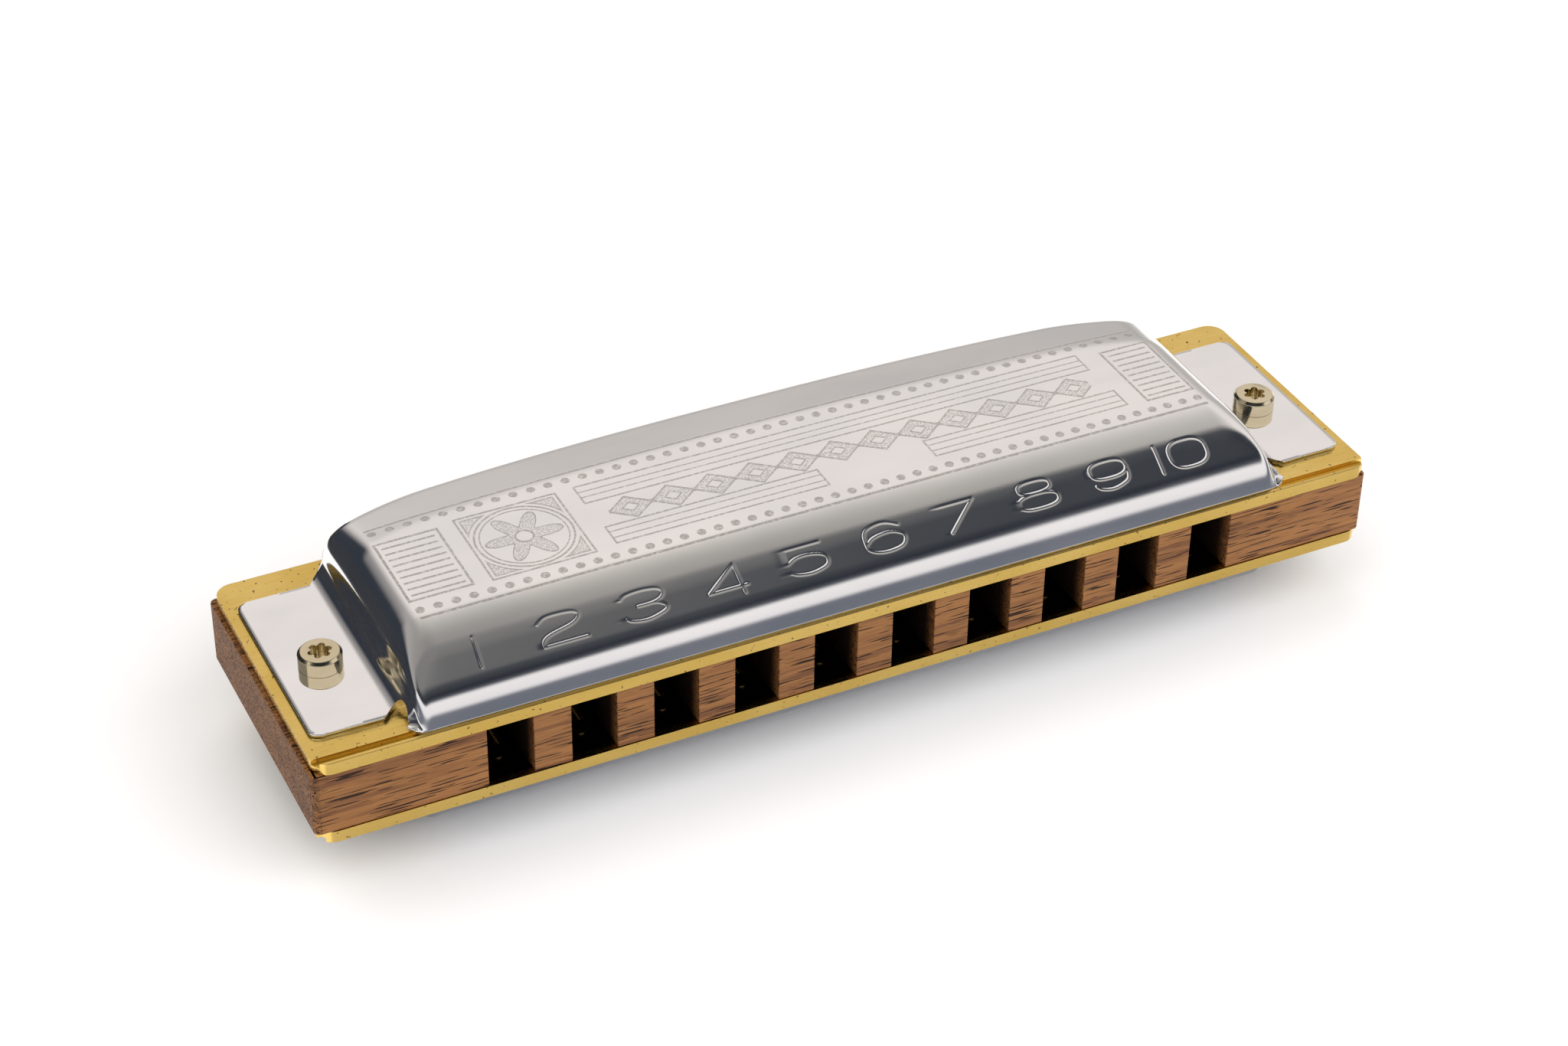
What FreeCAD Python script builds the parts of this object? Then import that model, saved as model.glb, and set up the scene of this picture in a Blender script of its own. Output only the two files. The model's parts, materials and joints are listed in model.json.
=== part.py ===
import FreeCAD, Part
import math
import os
import Sketcher
from FreeCAD import Placement, Rotation, Vector

# A ten-hole diatonic harmonica, lying flat. X runs along its length with hole 1 at the
# left (-X), the mouth side faces -Y, and Z points up. The pieces are drawn about the
# middle of the reed plates, then every one is moved by the same small frame shift, so
# that the origin is the bottom centre of the whole instrument.

NODE_FOLDER = "parts"
HOLES = 10
SIDES = {"left": -1, "right": 1}

# Driving dimensions in millimetres: the name of the cell and its value.
DIMENSIONS = {
    # the frame shift: from the middle of the reed plates to the bottom centre of the whole
    "shift_x": 0.1875,
    "shift_y": -0.99,
    # reed plates
    "plate_length": 100.95,
    "plate_depth": 26.34,
    "plate_thick": 1.10,
    "plate_corner": 1.60,
    "groove_front": 0.39,
    "groove_width": 0.78,
    "groove_depth": 0.42,
    # comb
    "comb_left": 50.85,
    "comb_right": 50.40,
    "comb_front": 13.07,
    "comb_back": 13.17,
    "comb_thick": 6.05,
    "comb_corner": 0.60,
    "hole_width": 4.09,
    "hole_pitch": 7.50,
    "hole_shift": 0.10,
    "hole_depth_first": 21.0,
    "hole_depth_last": 15.0,
    # reeds
    "tongue_first": 15.0,
    "tongue_last": 9.0,
    "tongue_width": 2.00,
    "tongue_thick": 0.22,
    "reed_side_gap": 0.10,
    "reed_tip_gap": 0.15,
    "reed_root_gap": 0.05,
    "blow_tip": 10.65,
    "draw_root": 8.30,
    "pad_length": 3.00,
    "pad_width": 2.80,
    "pad_thick": 0.34,
    "rivet_dia": 1.00,
    "rivet_head_dia": 1.80,
    "rivet_head": 0.36,
    "rivet_tail": 0.20,
    "snug_gap": 0.02,
    # screws that hold the two reed plates to the comb
    "plate_screw_dia": 1.80,
    "plate_screw_head": 3.40,
    "plate_screw_sink": 0.80,
    "plate_screw_row": 10.30,
    "plate_screw_pitch": 30.0,
    "plate_screw_end_x": 38.60,
    "plate_screw_end_y": 8.00,
    "driver_slot": 0.50,
    # cover screws and nuts
    "screw_x": 45.65,
    "screw_y": 1.10,
    "screw_dia": 2.00,
    "screw_head_dia": 3.80,
    "screw_head": 1.45,
    "screw_chamfer": 0.25,
    "screw_tail_gap": 0.20,
    "screw_hole_dia": 2.24,
    "recess_core_dia": 1.44,
    "recess_lobe_dia": 0.56,
    "recess_lobe_reach": 0.74,
    "recess_depth": 0.90,
    # covers: heights are measured from the outer face of a reed plate
    "cover_height": 5.40,
    "cover_sheet": 0.40,
    "cover_lip": 0.15,
    "cover_front": 12.70,
    "cover_rear": 15.15,
    "slope_foot_y": 11.58,
    "slope_foot_z": 2.00,
    "slope_head_y": 6.43,
    "top_back_y": 9.00,
    "rear_drop": 0.86,
    "rear_wall_low": 2.75,
    "wall_foot_x": 42.05,
    "wall_head_x": 40.50,
    "crown": 0.15,
    "flat_land": 0.02,
    "tab_end": 49.45,
    "tab_front": 9.75,
    "tab_rear": 9.60,
    "tab_corner": 0.90,
    "notch_dia": 2.50,
    "notch_x": 42.10,
    "notch_y": 10.30,
}


def make_sheet(doc):
    sheet = doc.addObject("Spreadsheet::Sheet", "dims")
    for row, (name, value) in enumerate(DIMENSIONS.items(), start=1):
        sheet.set("A%d" % row, name)
        sheet.set("B%d" % row, str(value))
        sheet.setAlias("B%d" % row, name)
    doc.recompute()
    return sheet


def bind(item, expressions):
    """Tie properties of an object to expressions that read the sheet."""
    for prop, text in expressions.items():
        item.setExpression(prop, text)
    return item


def box(doc, name, x, y, z, length, width, height):
    """A box with its low corner at x, y, z; every argument is an expression."""
    item = doc.addObject("Part::Box", name)
    return bind(item, {
        "Length": length, "Width": width, "Height": height,
        "Placement.Base.x": x, "Placement.Base.y": y, "Placement.Base.z": z,
    })


def cylinder(doc, name, x, y, z, radius, height):
    """An upright cylinder standing on x, y, z; every argument is an expression."""
    item = doc.addObject("Part::Cylinder", name)
    return bind(item, {
        "Radius": radius, "Height": height,
        "Placement.Base.x": x, "Placement.Base.y": y, "Placement.Base.z": z,
    })


def cone(doc, name, x, y, z, low_radius, high_radius, height):
    item = doc.addObject("Part::Cone", name)
    return bind(item, {
        "Radius1": low_radius, "Radius2": high_radius, "Height": height,
        "Placement.Base.x": x, "Placement.Base.y": y, "Placement.Base.z": z,
    })


def joined(doc, name, pieces):
    item = doc.addObject("Part::MultiFuse", name)
    item.Shapes = pieces
    return item


def cut(doc, name, base, tool):
    item = doc.addObject("Part::Cut", name)
    item.Base = base
    item.Tool = tool
    return item


def round_upright_edges(doc, name, base, radius):
    """Round the four upright edges of a box."""
    doc.recompute()
    upright = []
    for number, edge in enumerate(base.Shape.Edges, start=1):
        start, end = [vertex.Point for vertex in edge.Vertexes]
        if abs(start.z - end.z) > 0.5 * base.Shape.BoundBox.ZLength:
            upright.append((number, radius, radius))
    item = doc.addObject("Part::Fillet", name)
    item.Base = base
    item.Edges = upright
    return item


def finish_node(item, name):
    """Label a sub-part with its file name and move it into the instrument's frame."""
    item.Label = name
    bind(item, {"Placement.Base.x": "dims.shift_x", "Placement.Base.y": "dims.shift_y"})
    return item


# ---- heights and stations that several pieces share, written as expressions ----

DRAW_PLATE_LOW = "dims.cover_height"
COMB_LOW = "(dims.cover_height + dims.plate_thick)"
COMB_HIGH = "(dims.cover_height + dims.plate_thick + dims.comb_thick)"
BLOW_PLATE_HIGH = "(dims.cover_height + 2 * dims.plate_thick + dims.comb_thick)"


def hole_x(index):
    """Centre line of a hole: index 0 is hole 1, at the left."""
    return "(dims.hole_shift + %.1f * dims.hole_pitch)" % (index - (HOLES - 1) / 2)


def stepped(first, last, index):
    """A size that changes evenly from hole 1 to hole 10."""
    return "(dims.{0} + (dims.{1} - dims.{0}) * {2} / {3})".format(first, last, index, HOLES - 1)


def tongue_length(index):
    return stepped("tongue_first", "tongue_last", index)


def blow_root_y(index):
    """Where a blow reed meets its pad, towards the back."""
    return "(-dims.blow_tip + %s)" % tongue_length(index)


def plate_screw_places():
    """Three screws behind the reeds and one beside each end hole, towards the mouth."""
    places = []
    for step in (-1, 0, 1):
        places.append(("%d * dims.plate_screw_pitch" % step, "dims.plate_screw_row"))
    for side in SIDES.values():
        places.append(("%d * dims.plate_screw_end_x" % side, "-dims.plate_screw_end_y"))
    return places


# ---- comb ----

def make_comb(doc):
    blank = box(
        doc, "comb_blank",
        "-dims.comb_left", "-dims.comb_front", COMB_LOW,
        "dims.comb_left + dims.comb_right", "dims.comb_front + dims.comb_back", "dims.comb_thick")
    body = round_upright_edges(doc, "comb_rounded", blank, DIMENSIONS["comb_corner"])
    cuts = []
    for index in range(HOLES):
        cuts.append(box(
            doc, "comb_hole_%d" % (index + 1),
            "%s - dims.hole_width / 2" % hole_x(index), "-dims.comb_front - 1", COMB_LOW + " - 1",
            "dims.hole_width",
            "1 + " + stepped("hole_depth_first", "hole_depth_last", index),
            "dims.comb_thick + 2"))
    for number, (x, y) in enumerate(plate_screw_places(), start=1):
        cuts.append(cylinder(
            doc, "comb_plate_screw_hole_%d" % number, x, y, COMB_LOW + " - 1",
            "dims.plate_screw_dia / 2 + 5 * dims.snug_gap", "dims.comb_thick + 2"))
    for side, sign in SIDES.items():
        cuts.append(cylinder(
            doc, "comb_screw_hole_" + side, "%d * dims.screw_x" % sign, "-dims.screw_y",
            COMB_LOW + " - 1", "dims.screw_hole_dia / 2", "dims.comb_thick + 2"))
    comb = cut(doc, "comb", body, joined(doc, "comb_cuts", cuts))
    return finish_node(comb, "comb")


# ---- reed plates, with the groove, the reed slots and the holes ----

def plate_blank(doc, name, low):
    blank = box(
        doc, name + "_blank",
        "-dims.plate_length / 2", "-dims.plate_depth / 2", low,
        "dims.plate_length", "dims.plate_depth", "dims.plate_thick")
    return round_upright_edges(doc, name + "_rounded", blank, DIMENSIONS["plate_corner"])


def groove(doc, name, low):
    """The groove along the mouth side that takes the lip of a cover."""
    return box(
        doc, name + "_groove",
        "-dims.plate_length / 2 - 1", "-dims.plate_depth / 2 + dims.groove_front", low,
        "dims.plate_length + 2", "dims.groove_width", "2 * dims.groove_depth")


def reed_slot(doc, name, index, low, front_y):
    width = "(dims.tongue_width + 2 * dims.reed_side_gap)"
    return box(
        doc, "%s_slot_%d" % (name, index + 1),
        "%s - %s / 2" % (hole_x(index), width), front_y, low + " - 1",
        width, tongue_length(index) + " + dims.reed_tip_gap", "dims.plate_thick + 2")


def screw_holes(doc, name, low):
    """Clearance holes for the two long cover screws."""
    holes = []
    for side, sign in SIDES.items():
        holes.append(cylinder(
            doc, "%s_screw_hole_%s" % (name, side), "%d * dims.screw_x" % sign, "-dims.screw_y",
            low + " - 1", "dims.screw_hole_dia / 2", "dims.plate_thick + 2"))
    return holes


def rivet_holes(doc, name, low, rivet_y):
    holes = []
    for index in range(HOLES):
        holes.append(cylinder(
            doc, "%s_rivet_hole_%d" % (name, index + 1), hole_x(index), rivet_y(index),
            low + " - 1", "dims.rivet_dia / 2 + dims.snug_gap", "dims.plate_thick + 2"))
    return holes


def blow_rivet_y(index):
    return "(%s + dims.pad_length / 2)" % blow_root_y(index)


def draw_rivet_y(index):
    return "(-dims.draw_root - dims.pad_length / 2)"


def make_blow_plate(doc):
    """The upper plate. Its reeds hang under it, in the comb's chambers."""
    name = "blow_reed_plate"
    cuts = [groove(doc, name, BLOW_PLATE_HIGH + " - dims.groove_depth")]
    for index in range(HOLES):
        cuts.append(reed_slot(doc, name, index, COMB_HIGH, "-dims.blow_tip - dims.reed_tip_gap"))
    cuts += rivet_holes(doc, name, COMB_HIGH, blow_rivet_y)
    cuts += screw_holes(doc, name, COMB_HIGH)
    head_radius = "dims.plate_screw_head / 2 + dims.snug_gap"
    shaft_radius = "dims.plate_screw_dia / 2 + dims.snug_gap"
    for number, (x, y) in enumerate(plate_screw_places(), start=1):
        cuts.append(cylinder(
            doc, "%s_plate_screw_hole_%d" % (name, number), x, y, COMB_HIGH + " - 1",
            shaft_radius, "dims.plate_thick + 2"))
        cuts.append(cone(
            doc, "%s_countersink_%d" % (name, number), x, y,
            BLOW_PLATE_HIGH + " - dims.plate_screw_sink",
            shaft_radius, head_radius, "dims.plate_screw_sink"))
    blank = plate_blank(doc, name, COMB_HIGH)
    plate = cut(doc, name, blank, joined(doc, name + "_cuts", cuts))
    return finish_node(plate, name)


def make_draw_plate(doc):
    """The lower plate. Its reeds lie under it, outside the chambers."""
    name = "draw_reed_plate"
    cuts = [groove(doc, name, DRAW_PLATE_LOW + " - dims.groove_depth")]
    for index in range(HOLES):
        cuts.append(reed_slot(doc, name, index, DRAW_PLATE_LOW, "-dims.draw_root"))
    cuts += rivet_holes(doc, name, DRAW_PLATE_LOW, draw_rivet_y)
    cuts += screw_holes(doc, name, DRAW_PLATE_LOW)
    for number, (x, y) in enumerate(plate_screw_places(), start=1):
        cuts.append(cylinder(
            doc, "%s_plate_screw_hole_%d" % (name, number), x, y, DRAW_PLATE_LOW + " - 1",
            "dims.plate_screw_dia / 2 + dims.snug_gap", "dims.plate_thick + 2"))
    blank = plate_blank(doc, name, DRAW_PLATE_LOW)
    plate = cut(doc, name, blank, joined(doc, name + "_cuts", cuts))
    return finish_node(plate, name)


# ---- reeds: a tongue that swings, a pad, and the rivet that holds it ----

def make_tongue(doc, kind, index, front_y, low):
    name = "%s_reed_%d" % (kind, index + 1)
    tongue = box(
        doc, name, "%s - dims.tongue_width / 2 + dims.shift_x" % hole_x(index),
        front_y + " + dims.shift_y", low,
        "dims.tongue_width", tongue_length(index) + " - dims.reed_root_gap", "dims.tongue_thick")
    tongue.Label = name
    return tongue


def make_blow_tongues(doc):
    low = COMB_HIGH + " - dims.tongue_thick"
    return [make_tongue(doc, "blow", index, "-dims.blow_tip", low) for index in range(HOLES)]


def make_draw_tongues(doc):
    low = DRAW_PLATE_LOW + " - dims.tongue_thick"
    front = "-dims.draw_root + dims.reed_root_gap"
    return [make_tongue(doc, "draw", index, front, low) for index in range(HOLES)]


def make_pads(doc, kind, pad_front, rivet_y, plate_face):
    """The riveted ends of the reeds, lying against the lower face of their plate."""
    name = kind + "_reed_pads"
    low = plate_face + " - dims.pad_thick"
    pads = []
    holes = []
    for index in range(HOLES):
        pads.append(box(
            doc, "%s_%d" % (name, index + 1), "%s - dims.pad_width / 2" % hole_x(index),
            pad_front(index), low, "dims.pad_width", "dims.pad_length", "dims.pad_thick"))
        holes.append(cylinder(
            doc, "%s_hole_%d" % (name, index + 1), hole_x(index), rivet_y(index), low + " - 1",
            "dims.rivet_dia / 2 + dims.snug_gap", "dims.pad_thick + 2"))
    group = cut(
        doc, name, joined(doc, name + "_blanks", pads), joined(doc, name + "_holes", holes))
    return finish_node(group, name)


def make_rivets(doc, kind, rivet_y, plate_face):
    """One rivet a reed: a head under the pad, a shank, and a low tail above the plate."""
    name = kind + "_reed_rivets"
    head_low = plate_face + " - dims.pad_thick - dims.rivet_head"
    pieces = []
    for index in range(HOLES):
        x, y = hole_x(index), rivet_y(index)
        pieces.append(cylinder(
            doc, "%s_head_%d" % (name, index + 1), x, y, head_low,
            "dims.rivet_head_dia / 2", "dims.rivet_head"))
        pieces.append(cylinder(
            doc, "%s_shank_%d" % (name, index + 1), x, y, head_low, "dims.rivet_dia / 2",
            "dims.rivet_head + dims.pad_thick + dims.plate_thick + dims.rivet_tail"))
    return finish_node(joined(doc, name, pieces), name)


def draw_pad_front(index):
    return "(-dims.draw_root - dims.pad_length)"


# ---- the countersunk screws through the upper plate and the comb ----

def make_plate_screws(doc):
    name = "reed_plate_screws"
    pieces = []
    slots = []
    sink_low = BLOW_PLATE_HIGH + " - dims.plate_screw_sink"
    for number, (x, y) in enumerate(plate_screw_places(), start=1):
        pieces.append(cylinder(
            doc, "%s_shaft_%d" % (name, number), x, y, DRAW_PLATE_LOW + " + 5 * dims.snug_gap",
            "dims.plate_screw_dia / 2",
            "2 * dims.plate_thick + dims.comb_thick - dims.plate_screw_sink"))
        pieces.append(cone(
            doc, "%s_head_%d" % (name, number), x, y, sink_low,
            "dims.plate_screw_dia / 2", "dims.plate_screw_head / 2", "dims.plate_screw_sink"))
        slots.append(box(
            doc, "%s_slot_%d" % (name, number),
            "%s - dims.plate_screw_head / 2" % x, "%s - dims.driver_slot / 2" % y,
            BLOW_PLATE_HIGH + " - dims.driver_slot",
            "dims.plate_screw_head", "dims.driver_slot", "dims.driver_slot + 1"))
    group = cut(
        doc, name, joined(doc, name + "_blanks", pieces), joined(doc, name + "_slots", slots))
    return finish_node(group, name)


# ---- the cover screws and nuts, as turned bodies ----

def origin_plane(body, role):
    for feature in body.Origin.OriginFeatures:
        if feature.Role == role:
            return feature
    raise RuntimeError("no origin plane " + role)


def outline_sketch(body, name, role, corners):
    """A closed outline whose corners are pairs of expressions, across and up."""
    sketch = body.newObject("Sketcher::SketchObject", name)
    sketch.AttachmentSupport = (origin_plane(body, role), "")
    sketch.MapMode = "FlatFace"
    points = []
    for across, up in corners:
        points.append(Vector(sketch.evalExpression(across), sketch.evalExpression(up), 0))
    for index, point in enumerate(points):
        sketch.addGeometry(Part.LineSegment(point, points[(index + 1) % len(points)]), False)
    for index in range(len(points)):
        following = (index + 1) % len(points)
        sketch.addConstraint(Sketcher.Constraint("Coincident", index, 2, following, 1))
    for index, (across, up) in enumerate(corners):
        for direction, text, value in (
                ("DistanceX", across, points[index].x), ("DistanceY", up, points[index].y)):
            number = sketch.addConstraint(
                Sketcher.Constraint(direction, -1, 1, index, 1, value))
            sketch.setExpression("Constraints[%d]" % number, text)
    return sketch


def turned(body, name, corners):
    """Turn an outline that touches the upright axis about it."""
    sketch = outline_sketch(body, name + "_outline", "XZ_Plane", corners)
    turning = body.newObject("PartDesign::Revolution", name + "_turned")
    turning.Profile = sketch
    turning.ReferenceAxis = (sketch, ["V_Axis"])
    turning.Angle = 360.0
    return turning


def circle_sketch(body, name, reach, radius, height):
    """A circle out along X from the axis, on a level plane at a height."""
    sketch = body.newObject("Sketcher::SketchObject", name)
    sketch.AttachmentSupport = (origin_plane(body, "XY_Plane"), "")
    sketch.MapMode = "FlatFace"
    sketch.setExpression("AttachmentOffset.Base.z", height)
    centre = Vector(sketch.evalExpression(reach), 0, 0)
    circle = Part.Circle(centre, Vector(0, 0, 1), sketch.evalExpression(radius))
    sketch.addGeometry(circle, False)
    size = sketch.addConstraint(
        Sketcher.Constraint("Radius", 0, sketch.evalExpression(radius)))
    sketch.setExpression("Constraints[%d]" % size, radius)
    if centre.x == 0:
        sketch.addConstraint(Sketcher.Constraint("Coincident", 0, 3, -1, 1))
    else:
        across = sketch.addConstraint(
            Sketcher.Constraint("DistanceX", -1, 1, 0, 3, centre.x))
        sketch.setExpression("Constraints[%d]" % across, reach)
        sketch.addConstraint(Sketcher.Constraint("PointOnObject", 0, 3, -1))
    return sketch


def pocket(body, sketch, name, depth):
    item = body.newObject("PartDesign::Pocket", name)
    item.Profile = sketch
    item.setExpression("Length", depth)
    return item


def cut_six_lobe_recess(doc, body, name, top):
    """A round core with six lobes about it, sunk from the top of the head."""
    doc.recompute()
    before = body.Shape.Volume
    core = circle_sketch(body, name + "_core", "0", "dims.recess_core_dia / 2", top)
    pocket(body, core, name + "_core_pocket", "dims.recess_depth")
    lobe = circle_sketch(
        body, name + "_lobe", "dims.recess_lobe_reach", "dims.recess_lobe_dia / 2", top)
    lobe_pocket = pocket(body, lobe, name + "_lobe_pocket", "dims.recess_depth")
    doc.recompute()
    pattern = body.newObject("PartDesign::PolarPattern", name + "_lobes")
    pattern.Originals = [lobe_pocket]
    pattern.Axis = (lobe, ["N_Axis"])
    pattern.Angle = 360.0
    pattern.Occurrences = 6
    body.Tip = pattern
    doc.recompute()
    if body.Shape.Volume >= before:
        raise RuntimeError(name + ": the recess cut nothing")


def place_on_screw_axis(body, side, height):
    sign = SIDES[side]
    bind(body, {
        "Placement.Base.x": "dims.shift_x + %d * dims.screw_x" % sign,
        "Placement.Base.y": "dims.shift_y - dims.screw_y",
        "Placement.Base.z": height,
    })


def make_cover_screw(doc, side):
    """A long screw: its head bears on the upper tab and its shaft reaches the nut."""
    name = "cover_screw_" + side
    body = doc.addObject("PartDesign::Body", name)
    body.Label = name
    head = "dims.screw_head_dia / 2"
    shaft = "dims.screw_dia / 2"
    tail = (
        "-(2 * dims.cover_sheet + 2 * dims.plate_thick + dims.comb_thick"
        " + dims.screw_head - dims.screw_tail_gap)")
    turned(body, name, [
        ("0", tail), (shaft, tail), (shaft, "0"), (head, "0"),
        (head, "dims.screw_head - dims.screw_chamfer"),
        (head + " - dims.screw_chamfer", "dims.screw_head"), ("0", "dims.screw_head")])
    cut_six_lobe_recess(doc, body, name, "dims.screw_head")
    place_on_screw_axis(body, side, BLOW_PLATE_HIGH + " + dims.cover_sheet")
    return body


def make_cover_nut(doc, side):
    """A round nut under the lower tab."""
    name = "cover_nut_" + side
    body = doc.addObject("PartDesign::Body", name)
    body.Label = name
    bore = "dims.screw_dia / 2 + dims.snug_gap"
    wall = "dims.screw_head_dia / 2"
    turned(body, name, [
        (bore, "-dims.screw_head"), (wall + " - dims.screw_chamfer", "-dims.screw_head"),
        (wall, "-dims.screw_head + dims.screw_chamfer"), (wall, "0"), (bore, "0")])
    place_on_screw_axis(body, side, DRAW_PLATE_LOW + " - dims.cover_sheet")
    return body


# ---- the stamped covers ----

def rounded_path(corners, radii, straight_step, arc_steps):
    """Points along a run of straight stretches whose inner corners are arcs."""
    points = [Vector(*corners[0], 0)]
    for number, radius in enumerate(radii, start=1):
        before, corner, after = [Vector(*corners[number + step], 0) for step in (-1, 0, 1)]
        inward = (before - corner).normalize()
        onward = (after - corner).normalize()
        turn = math.pi - inward.getAngle(onward)
        bisector = (inward + onward).normalize()
        centre = corner + bisector * (radius / math.cos(turn / 2))
        arc_start = corner + inward * (radius * math.tan(turn / 2))
        points += spaced(points[-1], arc_start, straight_step)
        spoke = arc_start - centre
        way = 1 if inward.cross(onward).z < 0 else -1
        for step in range(1, arc_steps + 1):
            spin = Rotation(Vector(0, 0, 1), math.degrees(way * turn * step / arc_steps))
            points.append(centre + spin.multVec(spoke))
    return points + spaced(points[-1], Vector(*corners[-1], 0), straight_step)


def spaced(start, end, step):
    """Even points from just after start up to end."""
    count = max(1, math.ceil((end - start).Length / step))
    return [start + (end - start) * (index / count) for index in range(1, count + 1)]


def clamp(value):
    return min(1.0, max(0.0, value))


def smooth_step(band, value):
    """0 below the band, 1 above it, and an even S between."""
    share = clamp((value - band[0]) / (band[1] - band[0]))
    return share * share * (3 - 2 * share)


class CoverForm:
    """The outer face of a cover, as heights above the outer face of its reed plate.

    A cross-section, from the lip at the mouth side over the flat top to the open back,
    is carried along X. Towards each end it sinks down the end wall to the level of the
    flat tab, while its front and back draw in to the tab's own edges.
    """

    SECTION_RADII = [4.5, 6.0, 10.0, 1.5]
    WALL_RADII = [1.0, 1.5]
    ARC_STEPS = 7
    STRAIGHT_STEP = 1.3
    TOP_STEP = 5.0
    TOP_FINE_TO = 24.0
    CORNER_FULLNESS = 4
    # the back edge in plan: a long bow, then a rounded corner
    BOW_DEPTH, BOW_REACH, BOW_POWER = 1.35, 35.0, 2.6
    BACK_CORNER_FROM, BACK_CORNER_WIDTH, BACK_CORNER_DEPTH = 31.0, 11.8, 3.4
    BACK_CORNER_POWER = 1.7
    # the front edge in plan, and where its lip fades out
    FRONT_CORNER_FROM, FRONT_CORNER_WIDTH = 40.2, 2.6
    LIP_ENDS = (40.8, 41.6)
    # the stretches of the section that move in with the front and back edges
    FRONT_BAND = (5.0, 12.7)
    BACK_BAND = (0.0, 9.0)
    # how far down the end wall the section's points spread out evenly over the tab
    SPREAD_BAND = (0.30, 0.80)
    TAB_FROM = 43.2

    def __init__(self, sheet):
        self.dims = sheet
        self.top = sheet.cover_height + sheet.flat_land
        self.tall = self.top - sheet.cover_sheet

    def section(self):
        """The middle cross-section, as points (y, z) from the lip to the back."""
        dims = self.dims
        corners = [
            (-dims.cover_front, -dims.cover_lip), (-dims.slope_foot_y, dims.slope_foot_z),
            (-dims.slope_head_y, self.top), (dims.top_back_y, self.top),
            (dims.cover_rear, self.top - dims.rear_drop), (dims.cover_rear, dims.rear_wall_low)]
        return rounded_path(corners, self.SECTION_RADII, self.STRAIGHT_STEP, self.ARC_STEPS)

    def columns(self):
        """Stations along X with the end profile's height at each, from end to end."""
        dims = self.dims
        corners = [
            (dims.tab_end, dims.cover_sheet), (dims.wall_foot_x, dims.cover_sheet),
            (dims.wall_head_x, self.top), (self.TOP_FINE_TO, self.top)]
        path = rounded_path(corners, self.WALL_RADII, self.STRAIGHT_STEP, self.ARC_STEPS)
        half = [(point.x, point.y) for point in path]
        x = self.TOP_FINE_TO - self.TOP_STEP
        while x > 0:
            half.append((x, self.top))
            x -= self.TOP_STEP
        return [(-x, height) for x, height in half] + [(0.0, self.top)] + half[::-1]

    def back_edge(self, x):
        """How far back the rear edge lies: bowed in plan, with rounded corners."""
        bow = self.BOW_DEPTH * (x / self.BOW_REACH) ** self.BOW_POWER
        share = clamp((x - self.BACK_CORNER_FROM) / self.BACK_CORNER_WIDTH)
        power = self.BACK_CORNER_POWER
        corner = self.BACK_CORNER_DEPTH * (1 - (1 - share ** power) ** (1 / power))
        return max(self.dims.cover_rear - bow - corner, self.dims.tab_rear)

    def front_edge(self, x):
        """How far forward the front edge lies, as a negative y."""
        share = clamp((x - self.FRONT_CORNER_FROM) / self.FRONT_CORNER_WIDTH)
        drawn_in = (self.dims.cover_front - self.dims.tab_front) * (1 - math.sqrt(1 - share ** 2))
        return drawn_in - self.dims.cover_front

    def tab_reach(self, y):
        """Where a tab ends: its outer corners are rounded."""
        radius = self.dims.tab_corner
        middle = (self.dims.tab_rear - self.dims.tab_front) / 2
        half = (self.dims.tab_rear + self.dims.tab_front) / 2
        into_corner = radius * clamp((abs(y - middle) - (half - radius)) / radius)
        return self.dims.tab_end - radius + math.sqrt(radius ** 2 - into_corner ** 2)

    def point(self, x, end_height, spot, along):
        """The place on the outer face for one station along X and one section point.

        end_height is the end profile's height at x, and along is the section point's
        share of the way along the section.
        """
        dims = self.dims
        reach = abs(x)
        least = 1e-4
        across = max(least, clamp((end_height - dims.cover_sheet) / self.tall))
        up = max(least, clamp((spot.y - dims.cover_sheet) / self.tall))
        power = self.CORNER_FULLNESS
        height = (across ** -power + up ** -power - 1) ** (-1 / power)
        crown = dims.crown * (min(reach, dims.wall_foot_x) / dims.wall_head_x) ** 2
        lip = min(spot.y - dims.cover_sheet, 0.0) * (1 - smooth_step(self.LIP_ENDS, reach))
        z = dims.cover_sheet + (self.tall - crown) * height + lip
        even = (dims.cover_front + dims.cover_rear) * along - dims.cover_front
        spread = 1 - smooth_step(self.SPREAD_BAND, across)
        depth = spot.x + (even - spot.x) * spread
        back = (self.back_edge(reach) - dims.cover_rear) * smooth_step(self.BACK_BAND, depth)
        front = (self.front_edge(reach) + dims.cover_front) * smooth_step(self.FRONT_BAND, -depth)
        y = depth + back + front
        if reach > self.TAB_FROM:
            share = (reach - self.TAB_FROM) / (dims.tab_end - self.TAB_FROM)
            reach = self.TAB_FROM + share * (self.tab_reach(y) - self.TAB_FROM)
        return Vector(math.copysign(reach, x), y, z)

    def grid(self):
        """Rows of points on the outer face, one row for each station along X."""
        section = self.section()
        lengths = [0.0]
        for before, after in zip(section, section[1:]):
            lengths.append(lengths[-1] + (after - before).Length)
        rows = []
        for x, height in self.columns():
            row = []
            for spot, length in zip(section, lengths):
                row.append(self.point(x, height, spot, length / lengths[-1]))
            rows.append(row)
        return rows


def inner_grid(outer, thickness):
    """The outer points moved inward, square to the face, by the sheet's thickness."""
    last_row = len(outer) - 1
    last_spot = len(outer[0]) - 1
    rows = []
    for number, row in enumerate(outer):
        moved = []
        for spot, point in enumerate(row):
            along_x = outer[min(number + 1, last_row)][spot] - outer[max(number - 1, 0)][spot]
            along_y = row[min(spot + 1, last_spot)] - row[max(spot - 1, 0)]
            moved.append(point - along_x.cross(along_y).normalize() * thickness)
        rows.append(moved)
    return rows


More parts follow.
